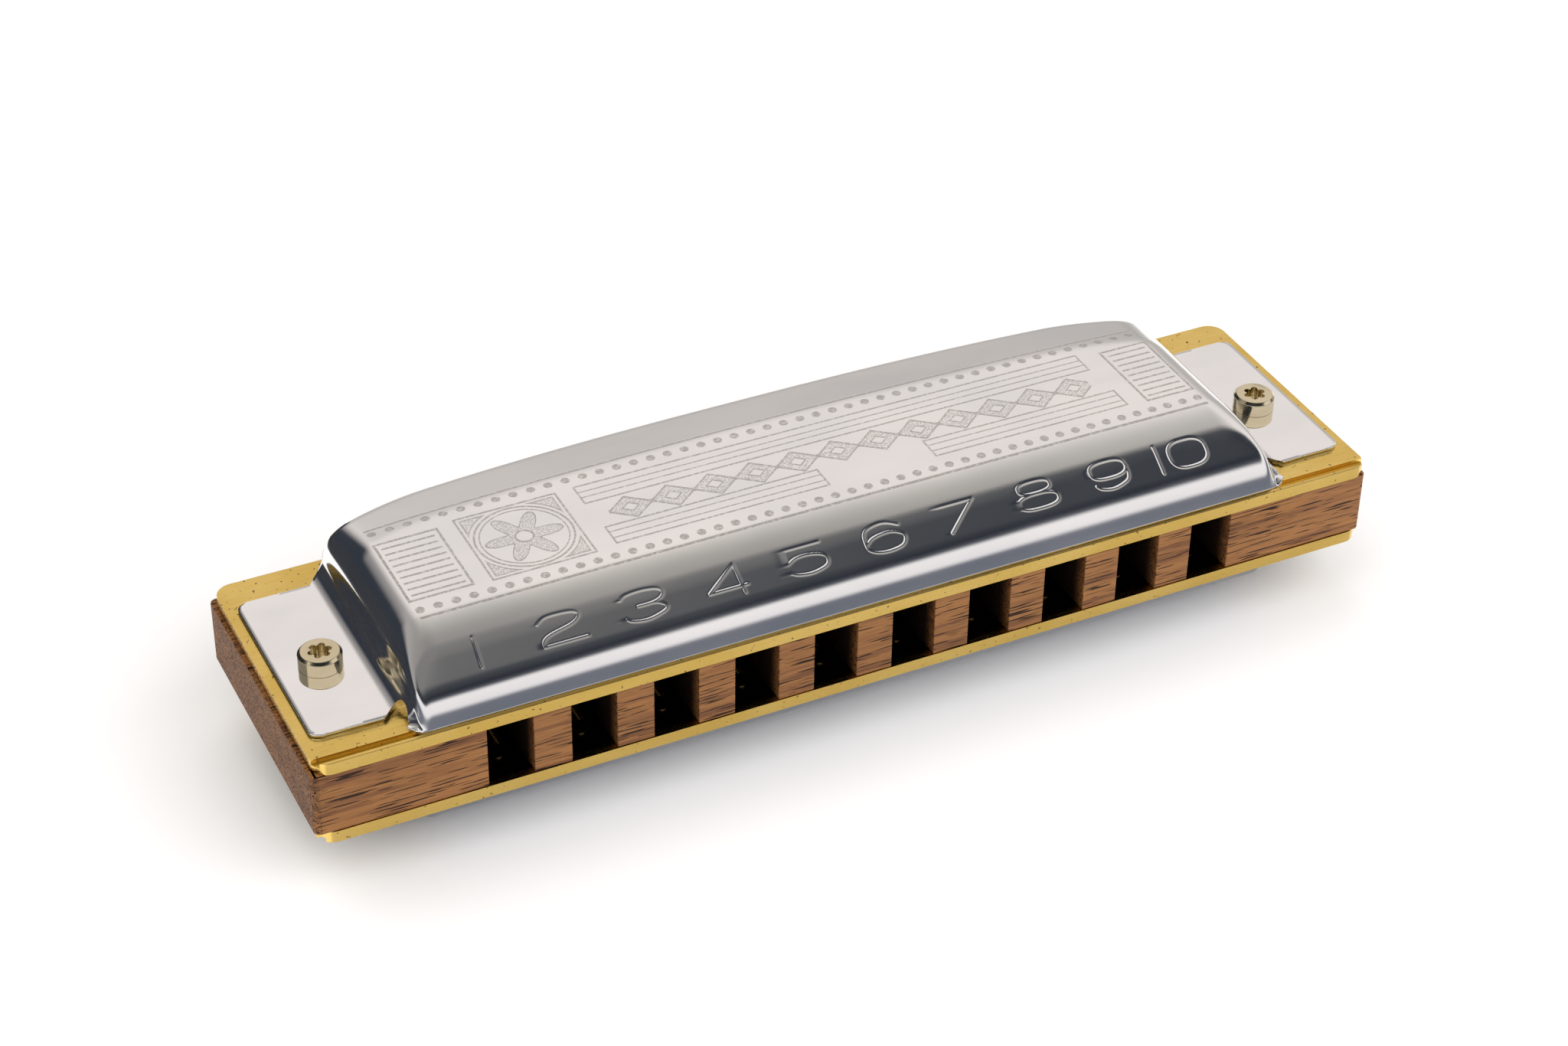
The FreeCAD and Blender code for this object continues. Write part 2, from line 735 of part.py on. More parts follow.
def clamped_knots(count, degree):
    """Evenly spaced knots and their multiplicities, so a spline starts and ends on its poles."""
    spans = count - degree
    multiplicities = [degree + 1] + [1] * (spans - 1) + [degree + 1]
    return list(range(spans + 1)), multiplicities


def face_along(rows):
    """A smooth face guided by a grid of points, which never swings outside them."""
    degree = 3
    row_knots, row_multiplicities = clamped_knots(len(rows), degree)
    spot_knots, spot_multiplicities = clamped_knots(len(rows[0]), degree)
    surface = Part.BSplineSurface()
    surface.buildFromPolesMultsKnots(
        rows, row_multiplicities, spot_multiplicities, row_knots, spot_knots,
        False, False, degree, degree)
    return surface


def sheet_solid(outer_rows, inner_rows):
    """A closed sheet between two surfaces, with ruled strips round its rim."""
    outer = face_along(outer_rows)
    inner = face_along(inner_rows)
    faces = [outer.toShape(), inner.toShape()]
    for rim in ("u_low", "u_high", "v_low", "v_high"):
        edges = []
        for surface in (outer, inner):
            u_low, u_high, v_low, v_high = surface.bounds()
            curves = {
                "u_low": lambda: surface.uIso(u_low), "u_high": lambda: surface.uIso(u_high),
                "v_low": lambda: surface.vIso(v_low), "v_high": lambda: surface.vIso(v_high)}
            edges.append(curves[rim]().toShape())
        faces.append(Part.makeRuledSurface(edges[0], edges[1]))
    shell = Part.makeShell(faces)
    shell.sewShape()
    solid = Part.makeSolid(shell)
    if solid.Volume < 0:
        solid.reverse()
    return solid


def cover_cuts(sheet):
    """Holes for the screws, a notch beside each tab, and the flat land on the crown."""
    above = 1.0
    notch_length = 5.0
    notch_inward = 2.0
    tools = []
    for sign in SIDES.values():
        foot = Vector(sign * sheet.screw_x, -sheet.screw_y, -above)
        tools.append(Part.makeCylinder(sheet.screw_hole_dia / 2, 4 * above, foot))
        outward = Vector(sign, -1.0, 0.0).normalize()
        mouth = Vector(sign * sheet.notch_x, -sheet.notch_y, -sheet.cover_lip)
        start = mouth - outward * notch_inward
        tools.append(Part.makeCylinder(sheet.notch_dia / 2, notch_length, start, outward))
    corner = Vector(-sheet.tab_end, -sheet.cover_rear, sheet.cover_height)
    tools.append(Part.makeBox(2 * sheet.tab_end, 2 * sheet.cover_rear, above, corner))
    return tools


def upper_cover_shape(sheet):
    outer = CoverForm(sheet).grid()
    cover = sheet_solid(outer, inner_grid(outer, sheet.cover_sheet))
    return cover.cut(cover_cuts(sheet))


def make_cover(doc, sheet, name, shape, base_z):
    cover = doc.addObject("Part::Feature", name)
    cover.Shape = shape
    cover.Placement = Placement(Vector(sheet.shift_x, sheet.shift_y, base_z), Rotation())
    cover.Label = name
    return cover


def make_covers(doc, sheet):
    upper = upper_cover_shape(sheet)
    lower = upper.mirror(Vector(0, 0, 0), Vector(0, 0, 1))
    stack = sheet.cover_height + 2 * sheet.plate_thick + sheet.comb_thick
    return [
        make_cover(doc, sheet, "top_cover", upper, stack),
        make_cover(doc, sheet, "bottom_cover", lower, sheet.cover_height),
    ]


# ---- the whole instrument ----

def check(doc, nodes):
    """Stop before anything is written if a feature failed or a solid is broken."""
    for item in doc.Objects:
        if "Invalid" in item.State or "Error" in item.State:
            raise RuntimeError("%s did not build: %s" % (item.Name, item.State))
    for node in nodes:
        if node.Shape.isNull() or not node.Shape.isValid() or not node.Shape.Solids:
            raise RuntimeError(node.Label + " is not a valid solid")


def write(nodes):
    os.makedirs(NODE_FOLDER, exist_ok=True)
    for node in nodes:
        node.Shape.exportStep(os.path.join(NODE_FOLDER, node.Label + ".step"))
        print("%-20s %2d solids %10.3f mm3" % (
            node.Label, len(node.Shape.Solids), node.Shape.Volume))


def main():
    doc = FreeCAD.newDocument("harmonica")
    sheet = make_sheet(doc)
    nodes = [make_comb(doc), make_blow_plate(doc), make_draw_plate(doc)]
    nodes += make_covers(doc, sheet)
    nodes.append(make_pads(doc, "blow", blow_root_y, blow_rivet_y, COMB_HIGH))
    nodes.append(make_pads(doc, "draw", draw_pad_front, draw_rivet_y, DRAW_PLATE_LOW))
    nodes.append(make_rivets(doc, "blow", blow_rivet_y, COMB_HIGH))
    nodes.append(make_rivets(doc, "draw", draw_rivet_y, DRAW_PLATE_LOW))
    nodes += make_blow_tongues(doc)
    nodes += make_draw_tongues(doc)
    nodes.append(make_plate_screws(doc))
    for side in SIDES:
        nodes.append(make_cover_screw(doc, side))
        nodes.append(make_cover_nut(doc, side))
    doc.recompute()
    check(doc, nodes)
    write(nodes)


main()
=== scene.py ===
import json
import math

import bmesh
import bpy
import numpy as np
from mathutils import Matrix, Vector


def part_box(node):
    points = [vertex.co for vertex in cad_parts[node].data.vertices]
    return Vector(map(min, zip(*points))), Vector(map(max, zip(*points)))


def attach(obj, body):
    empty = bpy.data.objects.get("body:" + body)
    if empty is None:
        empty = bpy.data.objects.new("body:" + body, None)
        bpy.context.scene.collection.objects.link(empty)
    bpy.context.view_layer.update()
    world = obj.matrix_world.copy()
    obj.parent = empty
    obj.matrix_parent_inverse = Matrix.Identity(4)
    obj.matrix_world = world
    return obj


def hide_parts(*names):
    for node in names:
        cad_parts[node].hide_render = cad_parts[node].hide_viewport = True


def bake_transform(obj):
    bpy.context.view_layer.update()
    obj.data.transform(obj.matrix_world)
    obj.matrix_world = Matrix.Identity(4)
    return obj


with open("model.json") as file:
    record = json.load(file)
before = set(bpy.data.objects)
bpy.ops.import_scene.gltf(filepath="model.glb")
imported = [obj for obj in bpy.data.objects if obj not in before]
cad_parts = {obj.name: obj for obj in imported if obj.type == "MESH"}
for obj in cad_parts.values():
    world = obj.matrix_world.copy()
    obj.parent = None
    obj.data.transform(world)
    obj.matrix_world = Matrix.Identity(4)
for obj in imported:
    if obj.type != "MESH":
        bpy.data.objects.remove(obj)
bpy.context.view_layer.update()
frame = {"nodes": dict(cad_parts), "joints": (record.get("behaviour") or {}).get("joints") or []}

MM = 0.001


def corners(node):
    """A CAD node's lowest and highest corners (mm)."""
    return [np.round(np.array(corner) / MM, 4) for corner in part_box(node)]


# Places that the frame gives (mm). The covers are drawn from the plates' centre: x runs along the
# holes, y away from the mouth holes and z up from the plate.
PLATE_LOW, PLATE_HIGH = corners("blow_reed_plate")
COMB_LOW, COMB_HIGH = corners("comb")
COVER_LOW, COVER_HIGH = corners("top_cover")
SHIFT_X, SHIFT_Y = ((PLATE_LOW + PLATE_HIGH) / 2)[:2]
BLOW_PLATE_TOP = PLATE_HIGH[2]
DRAW_PLATE_UNDER = corners("draw_reed_plate")[0][2]
MIDDLE_Z = (COMB_LOW[2] + COMB_HIGH[2]) / 2

# The covers (mm)
SHEET = 0.40
RIM_BULGE = 0.09
RIM_TURNS_DEGREES = (45, 90, 135)
TOP = COVER_HIGH[2] - BLOW_PLATE_TOP
LIP = 0.15
FRONT, REAR = SHIFT_Y - COVER_LOW[1], 15.15
TAB_END = COVER_HIGH[0] - SHIFT_X
TAB_FROM, TAB_CORNER = 43.2, 0.9
TAB_FRONT, TAB_REAR = 9.75, 9.60
BLEND_POWER = 4
SCREW_X, SCREW_Y, SCREW_HOLE_RADIUS = 45.65, -1.1, 1.12
NOTCH_X, NOTCH_Y, NOTCH_RADIUS, NOTCH_OUT = 42.1, -10.3, 1.25, 0.35

# The top sinks by SAG at SAG_AT from the middle, and no further beyond SAG_END (mm)
SAG, SAG_AT, SAG_END = 0.13, 37.6, 42.0

# The covers' section, from the lip at the front over the top to the rear edge
SECTION = [(-FRONT, -LIP), (-11.58, 2.0), (-6.43, TOP), (9.0, TOP), (REAR, 4.54), (REAR, 2.75)]
UPPER_RADII = [6.0, 9.5, 10.0, 1.5]
LOWER_RADII = [2.5, 6.0, 10.0, 1.5]

# The covers' end profile, from the tab's end up the end wall to the top
END_PROFILE = [(TAB_END, SHEET), (41.35, SHEET), (40.50, TOP), (36.8, TOP)]
END_RADII = [1.8, 3.4]
MIDDLE_FROM, MIDDLE_TO = -36.4, 36.2

# The stamped numbers: their groove, the band they lie in and the span of each (mm)
DIGIT_DEPTH, DIGIT_HALF_WIDTH, DIGIT_LIFT = 0.055, 0.21, 0.09
DIGIT_BAND = (3.7, 7.25)
DIGIT_SPANS = [
    (-35.2, -34.2), (-29.6, -24.8), (-22.0, -17.4), (-14.4, -10.0), (-6.9, -2.4),
    (0.6, 5.1), (8.3, 12.4), (15.5, 20.3), (23.1, 27.5), (29.9, 35.7)]

# An edge of a copied CAD piece that turns by more than this is broken (degrees)
SHARP_DEGREES = 35

# The reeds (mm)
TONGUE_WIDTH, TONGUE_THICK, TONGUE_SCRAPED = 2.0, 0.22, 0.45
PAD_WIDTH, PAD_LENGTH, PAD_THICK = 3.0, 3.0, 0.34
PAD_CORNER, BROKEN_EDGE = 0.3, 0.04
TONGUE_STEPS = 16
BEND_HALF = 0.25


# ---------------------------------------------------------------- curves and outlines

def smooth_step(low, high, value):
    """0 up to low, 1 from high, and a smooth rise between."""
    share = np.clip((value - low) / (high - low), 0.0, 1.0)
    return share * share * (3 - 2 * share)


def add_straight(points, end, step):
    """Carries the points on to the end in even steps."""
    start = points[-1]
    length = np.linalg.norm(end - start)
    count = max(1, math.ceil(length / step))
    for number in range(1, count + 1):
        points.append(start + (end - start) * number / count)


def add_arc(points, centre, start, end, turn, steps):
    """Carries the points round an arc from start to end, which turns by less than half a circle."""
    for step in range(1, steps + 1):
        share = step / steps
        weight_start = math.sin((1 - share) * turn) / math.sin(turn)
        weight_end = math.sin(share * turn) / math.sin(turn)
        points.append(centre + (start - centre) * weight_start + (end - centre) * weight_end)


def rounded_path(path, radii, arc_steps, straight_step):
    """Points along a polyline whose inner corners are rounded."""
    path = [np.array(corner, float) for corner in path]
    points = [path[0]]
    for before, corner, after, radius in zip(path, path[1:], path[2:], radii):
        into = (before - corner) / np.linalg.norm(before - corner)
        out = (after - corner) / np.linalg.norm(after - corner)
        half = math.acos(float(np.clip(into @ out, -1, 1))) / 2
        reach = radius / math.tan(half)
        middle = (into + out) / np.linalg.norm(into + out)
        centre = corner + middle * (radius / math.sin(half))
        start, end = corner + into * reach, corner + out * reach
        add_straight(points, start, straight_step)
        add_arc(points, centre, start, end, math.pi - 2 * half, arc_steps)
    add_straight(points, path[-1], straight_step)
    return np.array(points)


def smooth_curve(points):
    """A smooth curve through the points (Catmull-Rom), as a polyline of some 30 to 45 steps."""
    knots = [np.array(point, float) for point in points]
    knots = [knots[0]] + knots + [knots[-1]]
    steps = 24 // len(points) + 2
    curve = []
    for a, b, c, d in zip(knots, knots[1:], knots[2:], knots[3:]):
        for step in range(steps):
            t = step / steps
            curve.append(0.5 * (2 * b + (c - a) * t + (2 * a - 5 * b + 4 * c - d) * t * t
                                + (3 * b - 3 * c + d - a) * t ** 3))
    curve.append(knots[-1])
    return curve


def oval(centre_x, centre_s, half_x, half_s):
    """A rounded loop, squarer than an ellipse."""
    steps, power = 32, 0.75
    loop = []
    for step in range(steps + 1):
        angle = 2 * math.pi * step / steps
        c, s = math.cos(angle), math.sin(angle)
        loop.append((centre_x + half_x * math.copysign(abs(c) ** power, c),
                     centre_s + half_s * math.copysign(abs(s) ** power, s)))
    return loop


def digit_strokes():
    """Centre lines of the hole numbers: x along the cover, s up its front slope (mm)."""
    one = [[(-34.75, 4.2), (-34.6, 7.0)]]
    two = [
        smooth_curve([(-29.1, 6.45), (-28.3, 6.9), (-27, 6.95), (-25.8, 6.8), (-25.4, 6.35),
                      (-26.2, 5.75), (-28.2, 5.3), (-29.0, 4.9), (-29.15, 4.33)]),
        [(-29.15, 4.33), (-25.2, 4.33)]]
    three = [
        smooth_curve([(-21.6, 6.5), (-21, 6.85), (-19.5, 6.95), (-18.2, 6.75), (-17.8, 6.3),
                      (-18.1, 5.85), (-18.9, 5.6), (-20.3, 5.58)]),
        smooth_curve([(-18.9, 5.57), (-18.4, 5.45), (-17.85, 5.0), (-18.2, 4.6), (-19.8, 4.25),
                      (-21.2, 4.45), (-21.6, 4.75)])]
    four = [[(-14.0, 4.87), (-11.05, 6.95), (-10.87, 4.2)], [(-14.0, 4.87), (-10.4, 4.87)]]
    five = [
        [(-2.95, 6.85), (-6.45, 6.85), (-6.5, 5.5)],
        smooth_curve([(-6.4, 5.5), (-5.5, 5.9), (-4.3, 5.95), (-3.1, 5.65), (-2.75, 5.1),
                      (-3.1, 4.55), (-4.5, 4.25), (-5.8, 4.4), (-6.5, 4.75)])]
    six = [
        smooth_curve([(4.5, 6.4), (3.6, 6.85), (2.7, 6.95), (1.6, 6.7), (1.1, 6.2), (1.0, 5.3),
                      (1.1, 4.8), (1.8, 4.4), (2.9, 4.25), (4.2, 4.45), (4.7, 5.0), (4.6, 5.5),
                      (3.8, 5.9), (2.9, 5.95), (1.8, 5.75), (1.15, 5.35)])]
    seven = [[(8.7, 6.9), (12.0, 6.9), (8.95, 4.25)]]
    eight = [oval(17.9, 6.35, 1.6, 0.6), oval(17.9, 4.97, 1.95, 0.7)]
    nine = [
        oval(25.3, 6.1, 1.8, 0.85),
        smooth_curve([(27.15, 6.0), (27.1, 5.2), (26.7, 4.6), (25.3, 4.2), (24.1, 4.4),
                      (23.65, 4.8)])]
    ten = [[(30.4, 7.0), (30.35, 4.25)], oval(33.4, 5.63, 1.9, 1.37)]
    return one + two + three + four + five + six + seven + eight + nine + ten


def stroke_distance(x, s, strokes):
    """How far each point lies from the nearest stroke."""
    far_off = 9.0
    nearest = np.full(np.broadcast(x, s).shape, far_off)
    for stroke in strokes:
        for (start_x, start_s), (end_x, end_s) in zip(stroke, stroke[1:]):
            run_x, run_s = end_x - start_x, end_s - start_s
            squared = run_x * run_x + run_s * run_s + 1e-12
            share = np.clip(((x - start_x) * run_x + (s - start_s) * run_s) / squared, 0, 1)
            nearest = np.minimum(
                nearest, np.hypot(x - start_x - share * run_x, s - start_s - share * run_s))
    return nearest


# ---------------------------------------------------------------- objects

def new_object(name, vertices, faces):
    """A mesh object in metres, linked to the scene."""
    mesh = bpy.data.meshes.new(name)
    mesh.from_pydata([tuple(v) for v in vertices], [], faces)
    mesh.validate()
    mesh.update()
    obj = bpy.data.objects.new(name, mesh)
    bpy.context.collection.objects.link(obj)
    return obj


def make_smooth(obj, angle):
    """Smooth shading, except at edges that turn by more than the angle in degrees."""
    mesh = obj.data
    for polygon in mesh.polygons:
        polygon.use_smooth = True
    mesh.set_sharp_from_angle(angle=math.radians(angle))


def paint(obj, material):
    """Gives the object this one material."""
    obj.data.materials.clear()
    obj.data.materials.append(material)


# ---------------------------------------------------------------- the covers

def cover_sections(with_digits):
    """Points (y, z) of the middle cross-section, with their lengths from the lip."""
    radii = UPPER_RADII if with_digits else LOWER_RADII
    fine = rounded_path(SECTION, radii, 60, 0.05)
    lengths = np.concatenate([[0], np.cumsum(np.linalg.norm(np.diff(fine, axis=0), axis=1))])
    total = lengths[-1]
    band_low, band_high = DIGIT_BAND
    band_step = 0.085 if with_digits else 0.35
    flat_from, flat_to = 10.5, 22.0
    wanted = np.concatenate([
        np.arange(0, band_low, 0.26), np.arange(band_low, band_high, band_step),
        np.arange(band_high, flat_from, 0.3), np.arange(flat_from, flat_to, 1.6),
        np.arange(flat_to, total - 0.1, 0.32), [total]])
    return np.interp(wanted, lengths, fine[:, 0]), np.interp(wanted, lengths, fine[:, 1]), wanted


def cover_stations(with_digits):
    """Stations along X and the end profile's height at each, closest together at the numbers."""
    right = rounded_path(END_PROFILE, END_RADII, 16, 0.4)
    left = right * (-1, 1)
    middle = [MIDDLE_FROM]
    while middle[-1] < MIDDLE_TO:
        x = middle[-1]
        inside = with_digits and any(low <= x <= high for low, high in DIGIT_SPANS)
        middle.append(x + (0.09 if inside else 0.6))
    level = np.column_stack([middle, np.full(len(middle), TOP)])
    path = np.concatenate([left, level, right[::-1]])
    return path[:, 0], path[:, 1]


def back_edge(reach):
    """The plan's rear edge: a slight bow, then a long round corner down to the tab."""
    bow = 1.35 * (reach / 35.0) ** 2.6
    corner_from, corner_length, corner_depth, power = 31.0, 11.8, 3.4, 1.7
    share = np.clip((reach - corner_from) / corner_length, 0, 1)
    corner = corner_depth * (1 - (1 - share ** power) ** (1 / power))
    return np.maximum(REAR - bow - corner, TAB_REAR)


def front_edge(reach):
    """The plan's front edge: straight, with a quarter of an ellipse down to the tab."""
    corner_from, corner_length = 40.2, 2.6
    share = np.clip((reach - corner_from) / corner_length, 0, 1)
    return -FRONT + (FRONT - TAB_FRONT) * (1 - np.sqrt(1 - share ** 2))


def tab_reach(y):
    """How far out the tab's end lies, with its two round corners."""
    middle, half = (TAB_REAR - TAB_FRONT) / 2, (TAB_REAR + TAB_FRONT) / 2
    inward = TAB_CORNER * np.clip((abs(y - middle) - (half - TAB_CORNER)) / TAB_CORNER, 0, 1)
    return TAB_END - TAB_CORNER + np.sqrt(TAB_CORNER ** 2 - inward ** 2)


def cover_height(reach, across, z):
    """The section's height, which follows the end profile down and sags a little to the ends."""
    tall = TOP - SHEET
    up = np.clip((z - SHEET) / tall, 1e-4, 1)
    height = (across ** -BLEND_POWER + up ** -BLEND_POWER - 1) ** (-1 / BLEND_POWER)
    sag = SAG * (np.minimum(reach, SAG_END) / SAG_AT) ** 2
    lip = np.minimum(z - SHEET, 0) * (1 - smooth_step(40.8, 41.6, reach))
    return SHEET + (tall - sag) * height + lip


def cover_depth(reach, across, y, along):
    """The section's depth, drawn in to the plan's edges, and evened out on the tabs."""
    even = (FRONT + REAR) * along - FRONT
    depth = y + (even - y) * (1 - smooth_step(0.30, 0.80, across))
    back = (back_edge(reach) - REAR) * smooth_step(0.0, 9.0, depth)
    front = (front_edge(reach) + FRONT) * smooth_step(5.0, FRONT, -depth)
    return depth + back + front


def cover_points(x, end_height, y, z, lengths):
    """The outer face: the section carried along X, sinking at the ends to the flat tabs."""
    x, y, z = x[:, None], y[None, :], z[None, :]
    reach = abs(x)
    across = np.clip((end_height[:, None] - SHEET) / (TOP - SHEET), 1e-4, 1)
    out_z = cover_height(reach, across, z)
    out_y = cover_depth(reach, across, y, lengths[None, :] / lengths[-1])
    share = (reach - TAB_FROM) / (TAB_END - TAB_FROM)
    on_tab = TAB_FROM + share * (tab_reach(out_y) - TAB_FROM)
    out_reach = np.where(reach > TAB_FROM, on_tab, reach)
    return np.stack([np.copysign(out_reach, x), out_y, out_z], axis=-1)


def grid_normals(points):
    """The outward direction at each point of a grid."""
    along_x = np.gradient(points, axis=0)
    along_y = np.gradient(points, axis=1)
    normals = np.cross(along_x, along_y)
    return normals / np.linalg.norm(normals, axis=-1, keepdims=True)


def sheet_faces(columns, rows, inner_rows):
    """Quads over both sides of a sheet. The inner side's vertices follow the outer side's."""
    inner_start = columns * rows
    faces = []
    for i in range(columns - 1):
        for j in range(rows - 1):
            a = i * rows + j
            faces.append((a, a + rows, a + rows + 1, a + 1))
        for k in range(inner_rows - 1):
            a = inner_start + i * inner_rows + k
            faces.append((a, a + 1, a + inner_rows + 1, a + inner_rows))
    return faces


def border(columns, rows):
    """The grid's border, walked once round anticlockwise as seen from outside."""
    ring = [(i, 0) for i in range(columns)]
    ring += [(columns - 1, j) for j in range(1, rows)]
    ring += [(i, rows - 1) for i in range(columns - 2, -1, -1)]
    ring += [(0, j) for j in range(rows - 2, 0, -1)]
    return ring


def way_out(outer, i, j):
    """The direction that leads off the sheet at a place on its border."""
    columns, rows = outer.shape[:2]
    away = np.zeros(3)
    if i in (0, columns - 1):
        away += outer[i, j] - outer[1 if i == 0 else columns - 2, j]
    if j in (0, rows - 1):
        side = outer[i, j] - outer[i, 1 if j == 0 else rows - 2]
        away = away / (np.linalg.norm(away) + 1e-9) + side / np.linalg.norm(side)
    return away / np.linalg.norm(away)


def rim_points(outer, inner, ring):
    """Loops that carry the rim round from the outer side to the inner side."""
    points = []
    for turn in RIM_TURNS_DEGREES:
        angle = math.radians(turn)
        for i, j in ring:
            middle = (outer[i, j] + inner[i, j]) / 2
            half = (outer[i, j] - inner[i, j]) / 2
            bulge = RIM_BULGE * math.sin(angle) * way_out(outer, i, j)
            points.append(middle + math.cos(angle) * half + bulge)
    return points


def rim_faces(ring, loops, inner_number):
    """Quads from loop to loop, then wider faces that close on the coarser inner side."""
    count = len(ring)
    faces = []
    for low, high in zip(loops, loops[1:]):
        for n in range(count):
            m = (n + 1) % count
            faces.append((low[m], low[n], high[n], high[m]))
    stops = [n for n, place in enumerate(ring) if place in inner_number]
    for start, end in zip(stops, stops[1:] + stops[:1]):
        span = [start]
        while span[-1] != end:
            span.append((span[-1] + 1) % count)
        inner_side = [inner_number[ring[n]] for n in (start, end)]
        faces.append(tuple([loops[-1][n] for n in reversed(span)] + inner_side))
    return faces


def sheet_mesh(outer, inner, kept_rows):
    """A closed sheet: the outer grid, a coarser inner grid and a rounded rim between them."""
    columns, rows = outer.shape[:2]
    inner_start = columns * rows
    inner_number = {(i, j): inner_start + i * len(kept_rows) + k
                    for i in range(columns) for k, j in enumerate(kept_rows)}
    ring = border(columns, rows)
    loops = [[i * rows + j for i, j in ring]]
    for number in range(len(RIM_TURNS_DEGREES)):
        start = inner_start + len(inner_number) + number * len(ring)
        loops.append(range(start, start + len(ring)))
    vertices = np.concatenate([
        outer.reshape(-1, 3), inner[:, kept_rows].reshape(-1, 3), rim_points(outer, inner, ring)])
    faces = sheet_faces(columns, rows, len(kept_rows)) + rim_faces(ring, loops, inner_number)
    return vertices, faces


def add_cylinder(bm, radius, length, centre, axis):
    """A closed cylinder about its centre, in mm."""
    turn = Vector((0, 0, 1)).rotation_difference(Vector(axis)).to_matrix().to_4x4()
    bmesh.ops.create_cone(
        bm, cap_ends=True, segments=64, radius1=radius * MM, radius2=radius * MM,
        depth=length * MM, matrix=Matrix.Translation(Vector(centre) * MM) @ turn)


def hole_cutter(face_z, side):
    """Cylinders for the screw holes in the tabs and the notch beside each tab."""
    bm = bmesh.new()
    for sign in (-1, 1):
        screw = (SHIFT_X + sign * SCREW_X, SHIFT_Y + SCREW_Y, face_z)
        add_cylinder(bm, SCREW_HOLE_RADIUS, 4, screw, (0, 0, 1))
        notch = (SHIFT_X + sign * (NOTCH_X + NOTCH_OUT), SHIFT_Y + NOTCH_Y - NOTCH_OUT,
                 face_z - side * LIP)
        add_cylinder(bm, NOTCH_RADIUS, 5, notch, (sign, -1, 0))
    mesh = bpy.data.meshes.new("cutters")
    bm.to_mesh(mesh)
    bm.free()
    cutter = bpy.data.objects.new("cutters", mesh)
    bpy.context.collection.objects.link(cutter)
    return cutter


def cut_away(obj, cutter):
    """Takes the cutter out of the object for good, and removes the cutter."""
    modifier = obj.modifiers.new("holes", "BOOLEAN")
    modifier.object = cutter
    modifier.operation = "DIFFERENCE"
    modifier.solver = "MANIFOLD"
    shape = obj.evaluated_get(bpy.context.evaluated_depsgraph_get())
    done = bpy.data.meshes.new_from_object(shape)
    obj.modifiers.clear()
    old = obj.data
    obj.data = done
    bpy.data.meshes.remove(old)
    bpy.data.objects.remove(cutter)


def press_digits(points, normals, x, lengths):
    """Sinks the numbers' strokes into the outer face as round-bottomed grooves."""
    distance = stroke_distance(x[:, None], lengths[None, :] + DIGIT_LIFT, digit_strokes())
    share = np.clip(distance / DIGIT_HALF_WIDTH, 0, 1)
    return points - normals * (DIGIT_DEPTH * (0.5 + 0.5 * np.cos(math.pi * share)))[..., None]


def build_cover(name, node, face_z, side, with_digits, material):
    """side is 1 for the upper cover and -1 for its mirror image below."""
    y, z, lengths = cover_sections(with_digits)
    x, end_height = cover_stations(with_digits)
    smooth = cover_points(x, end_height, y, z, lengths)
    normals = grid_normals(smooth)
    outer = press_digits(smooth, normals, x, lengths) if with_digits else smooth.copy()
    inner = smooth - normals * SHEET
    for points in (outer, inner):
        points[..., 0] += SHIFT_X
        points[..., 1] += SHIFT_Y
        points[..., 2] = face_z + side * points[..., 2]
    kept_rows = sorted(set(list(range(0, len(y), 4)) + [len(y) - 1]))
    vertices, faces = sheet_mesh(outer, inner, kept_rows)
    if side < 0:
        faces = [tuple(reversed(face)) for face in faces]
    obj = new_object(name, vertices * MM, faces)
    cut_away(obj, hole_cutter(face_z, side))
    make_smooth(obj, 50)
    paint(obj, material)
    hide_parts(node)
    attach(obj, "root")


# ---------------------------------------------------------------- the other pieces

def detailed_copy(node, edge, material, segments=2):
    """The CAD piece again, welded, with every sharp edge softly broken."""
    name = node + "_body"
    mesh = frame["nodes"][node].data.copy()
    mesh.name = name
    obj = bpy.data.objects.new(name, mesh)
    bpy.context.collection.objects.link(obj)
    bm = bmesh.new()
    bm.from_mesh(mesh)
    bmesh.ops.remove_doubles(bm, verts=bm.verts, dist=2e-6)
    bmesh.ops.dissolve_limit(
        bm, angle_limit=math.radians(0.5), verts=bm.verts, edges=bm.edges, delimit={"NORMAL"})
    bm.to_mesh(mesh)
    bm.free()
    make_smooth(obj, SHARP_DEGREES)
    paint(obj, material)
    bevel = obj.modifiers.new("broken edges", "BEVEL")
    bevel.width = edge * MM
    bevel.segments = segments
    bevel.limit_method = "ANGLE"
    bevel.angle_limit = math.radians(SHARP_DEGREES)
    bevel.harden_normals = True
    bevel.use_clamp_overlap = True
    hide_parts(node)
    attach(obj, "root")


def reed_place(kind, number):
    """A tongue's middle in x, its root and tip in y and its riveted face in z (mm)."""
    low, high = corners(f"{kind}_reed_{number}")
    name = f"{kind}_reed_{number}_swing"
    hinge = next(joint for joint in frame["joints"] if joint["name"] == name)
    tip_y = low[1] if kind == "blow" else high[1]
    return (low[0] + high[0]) / 2, hinge["pos_m"][1] / MM, tip_y, high[2]


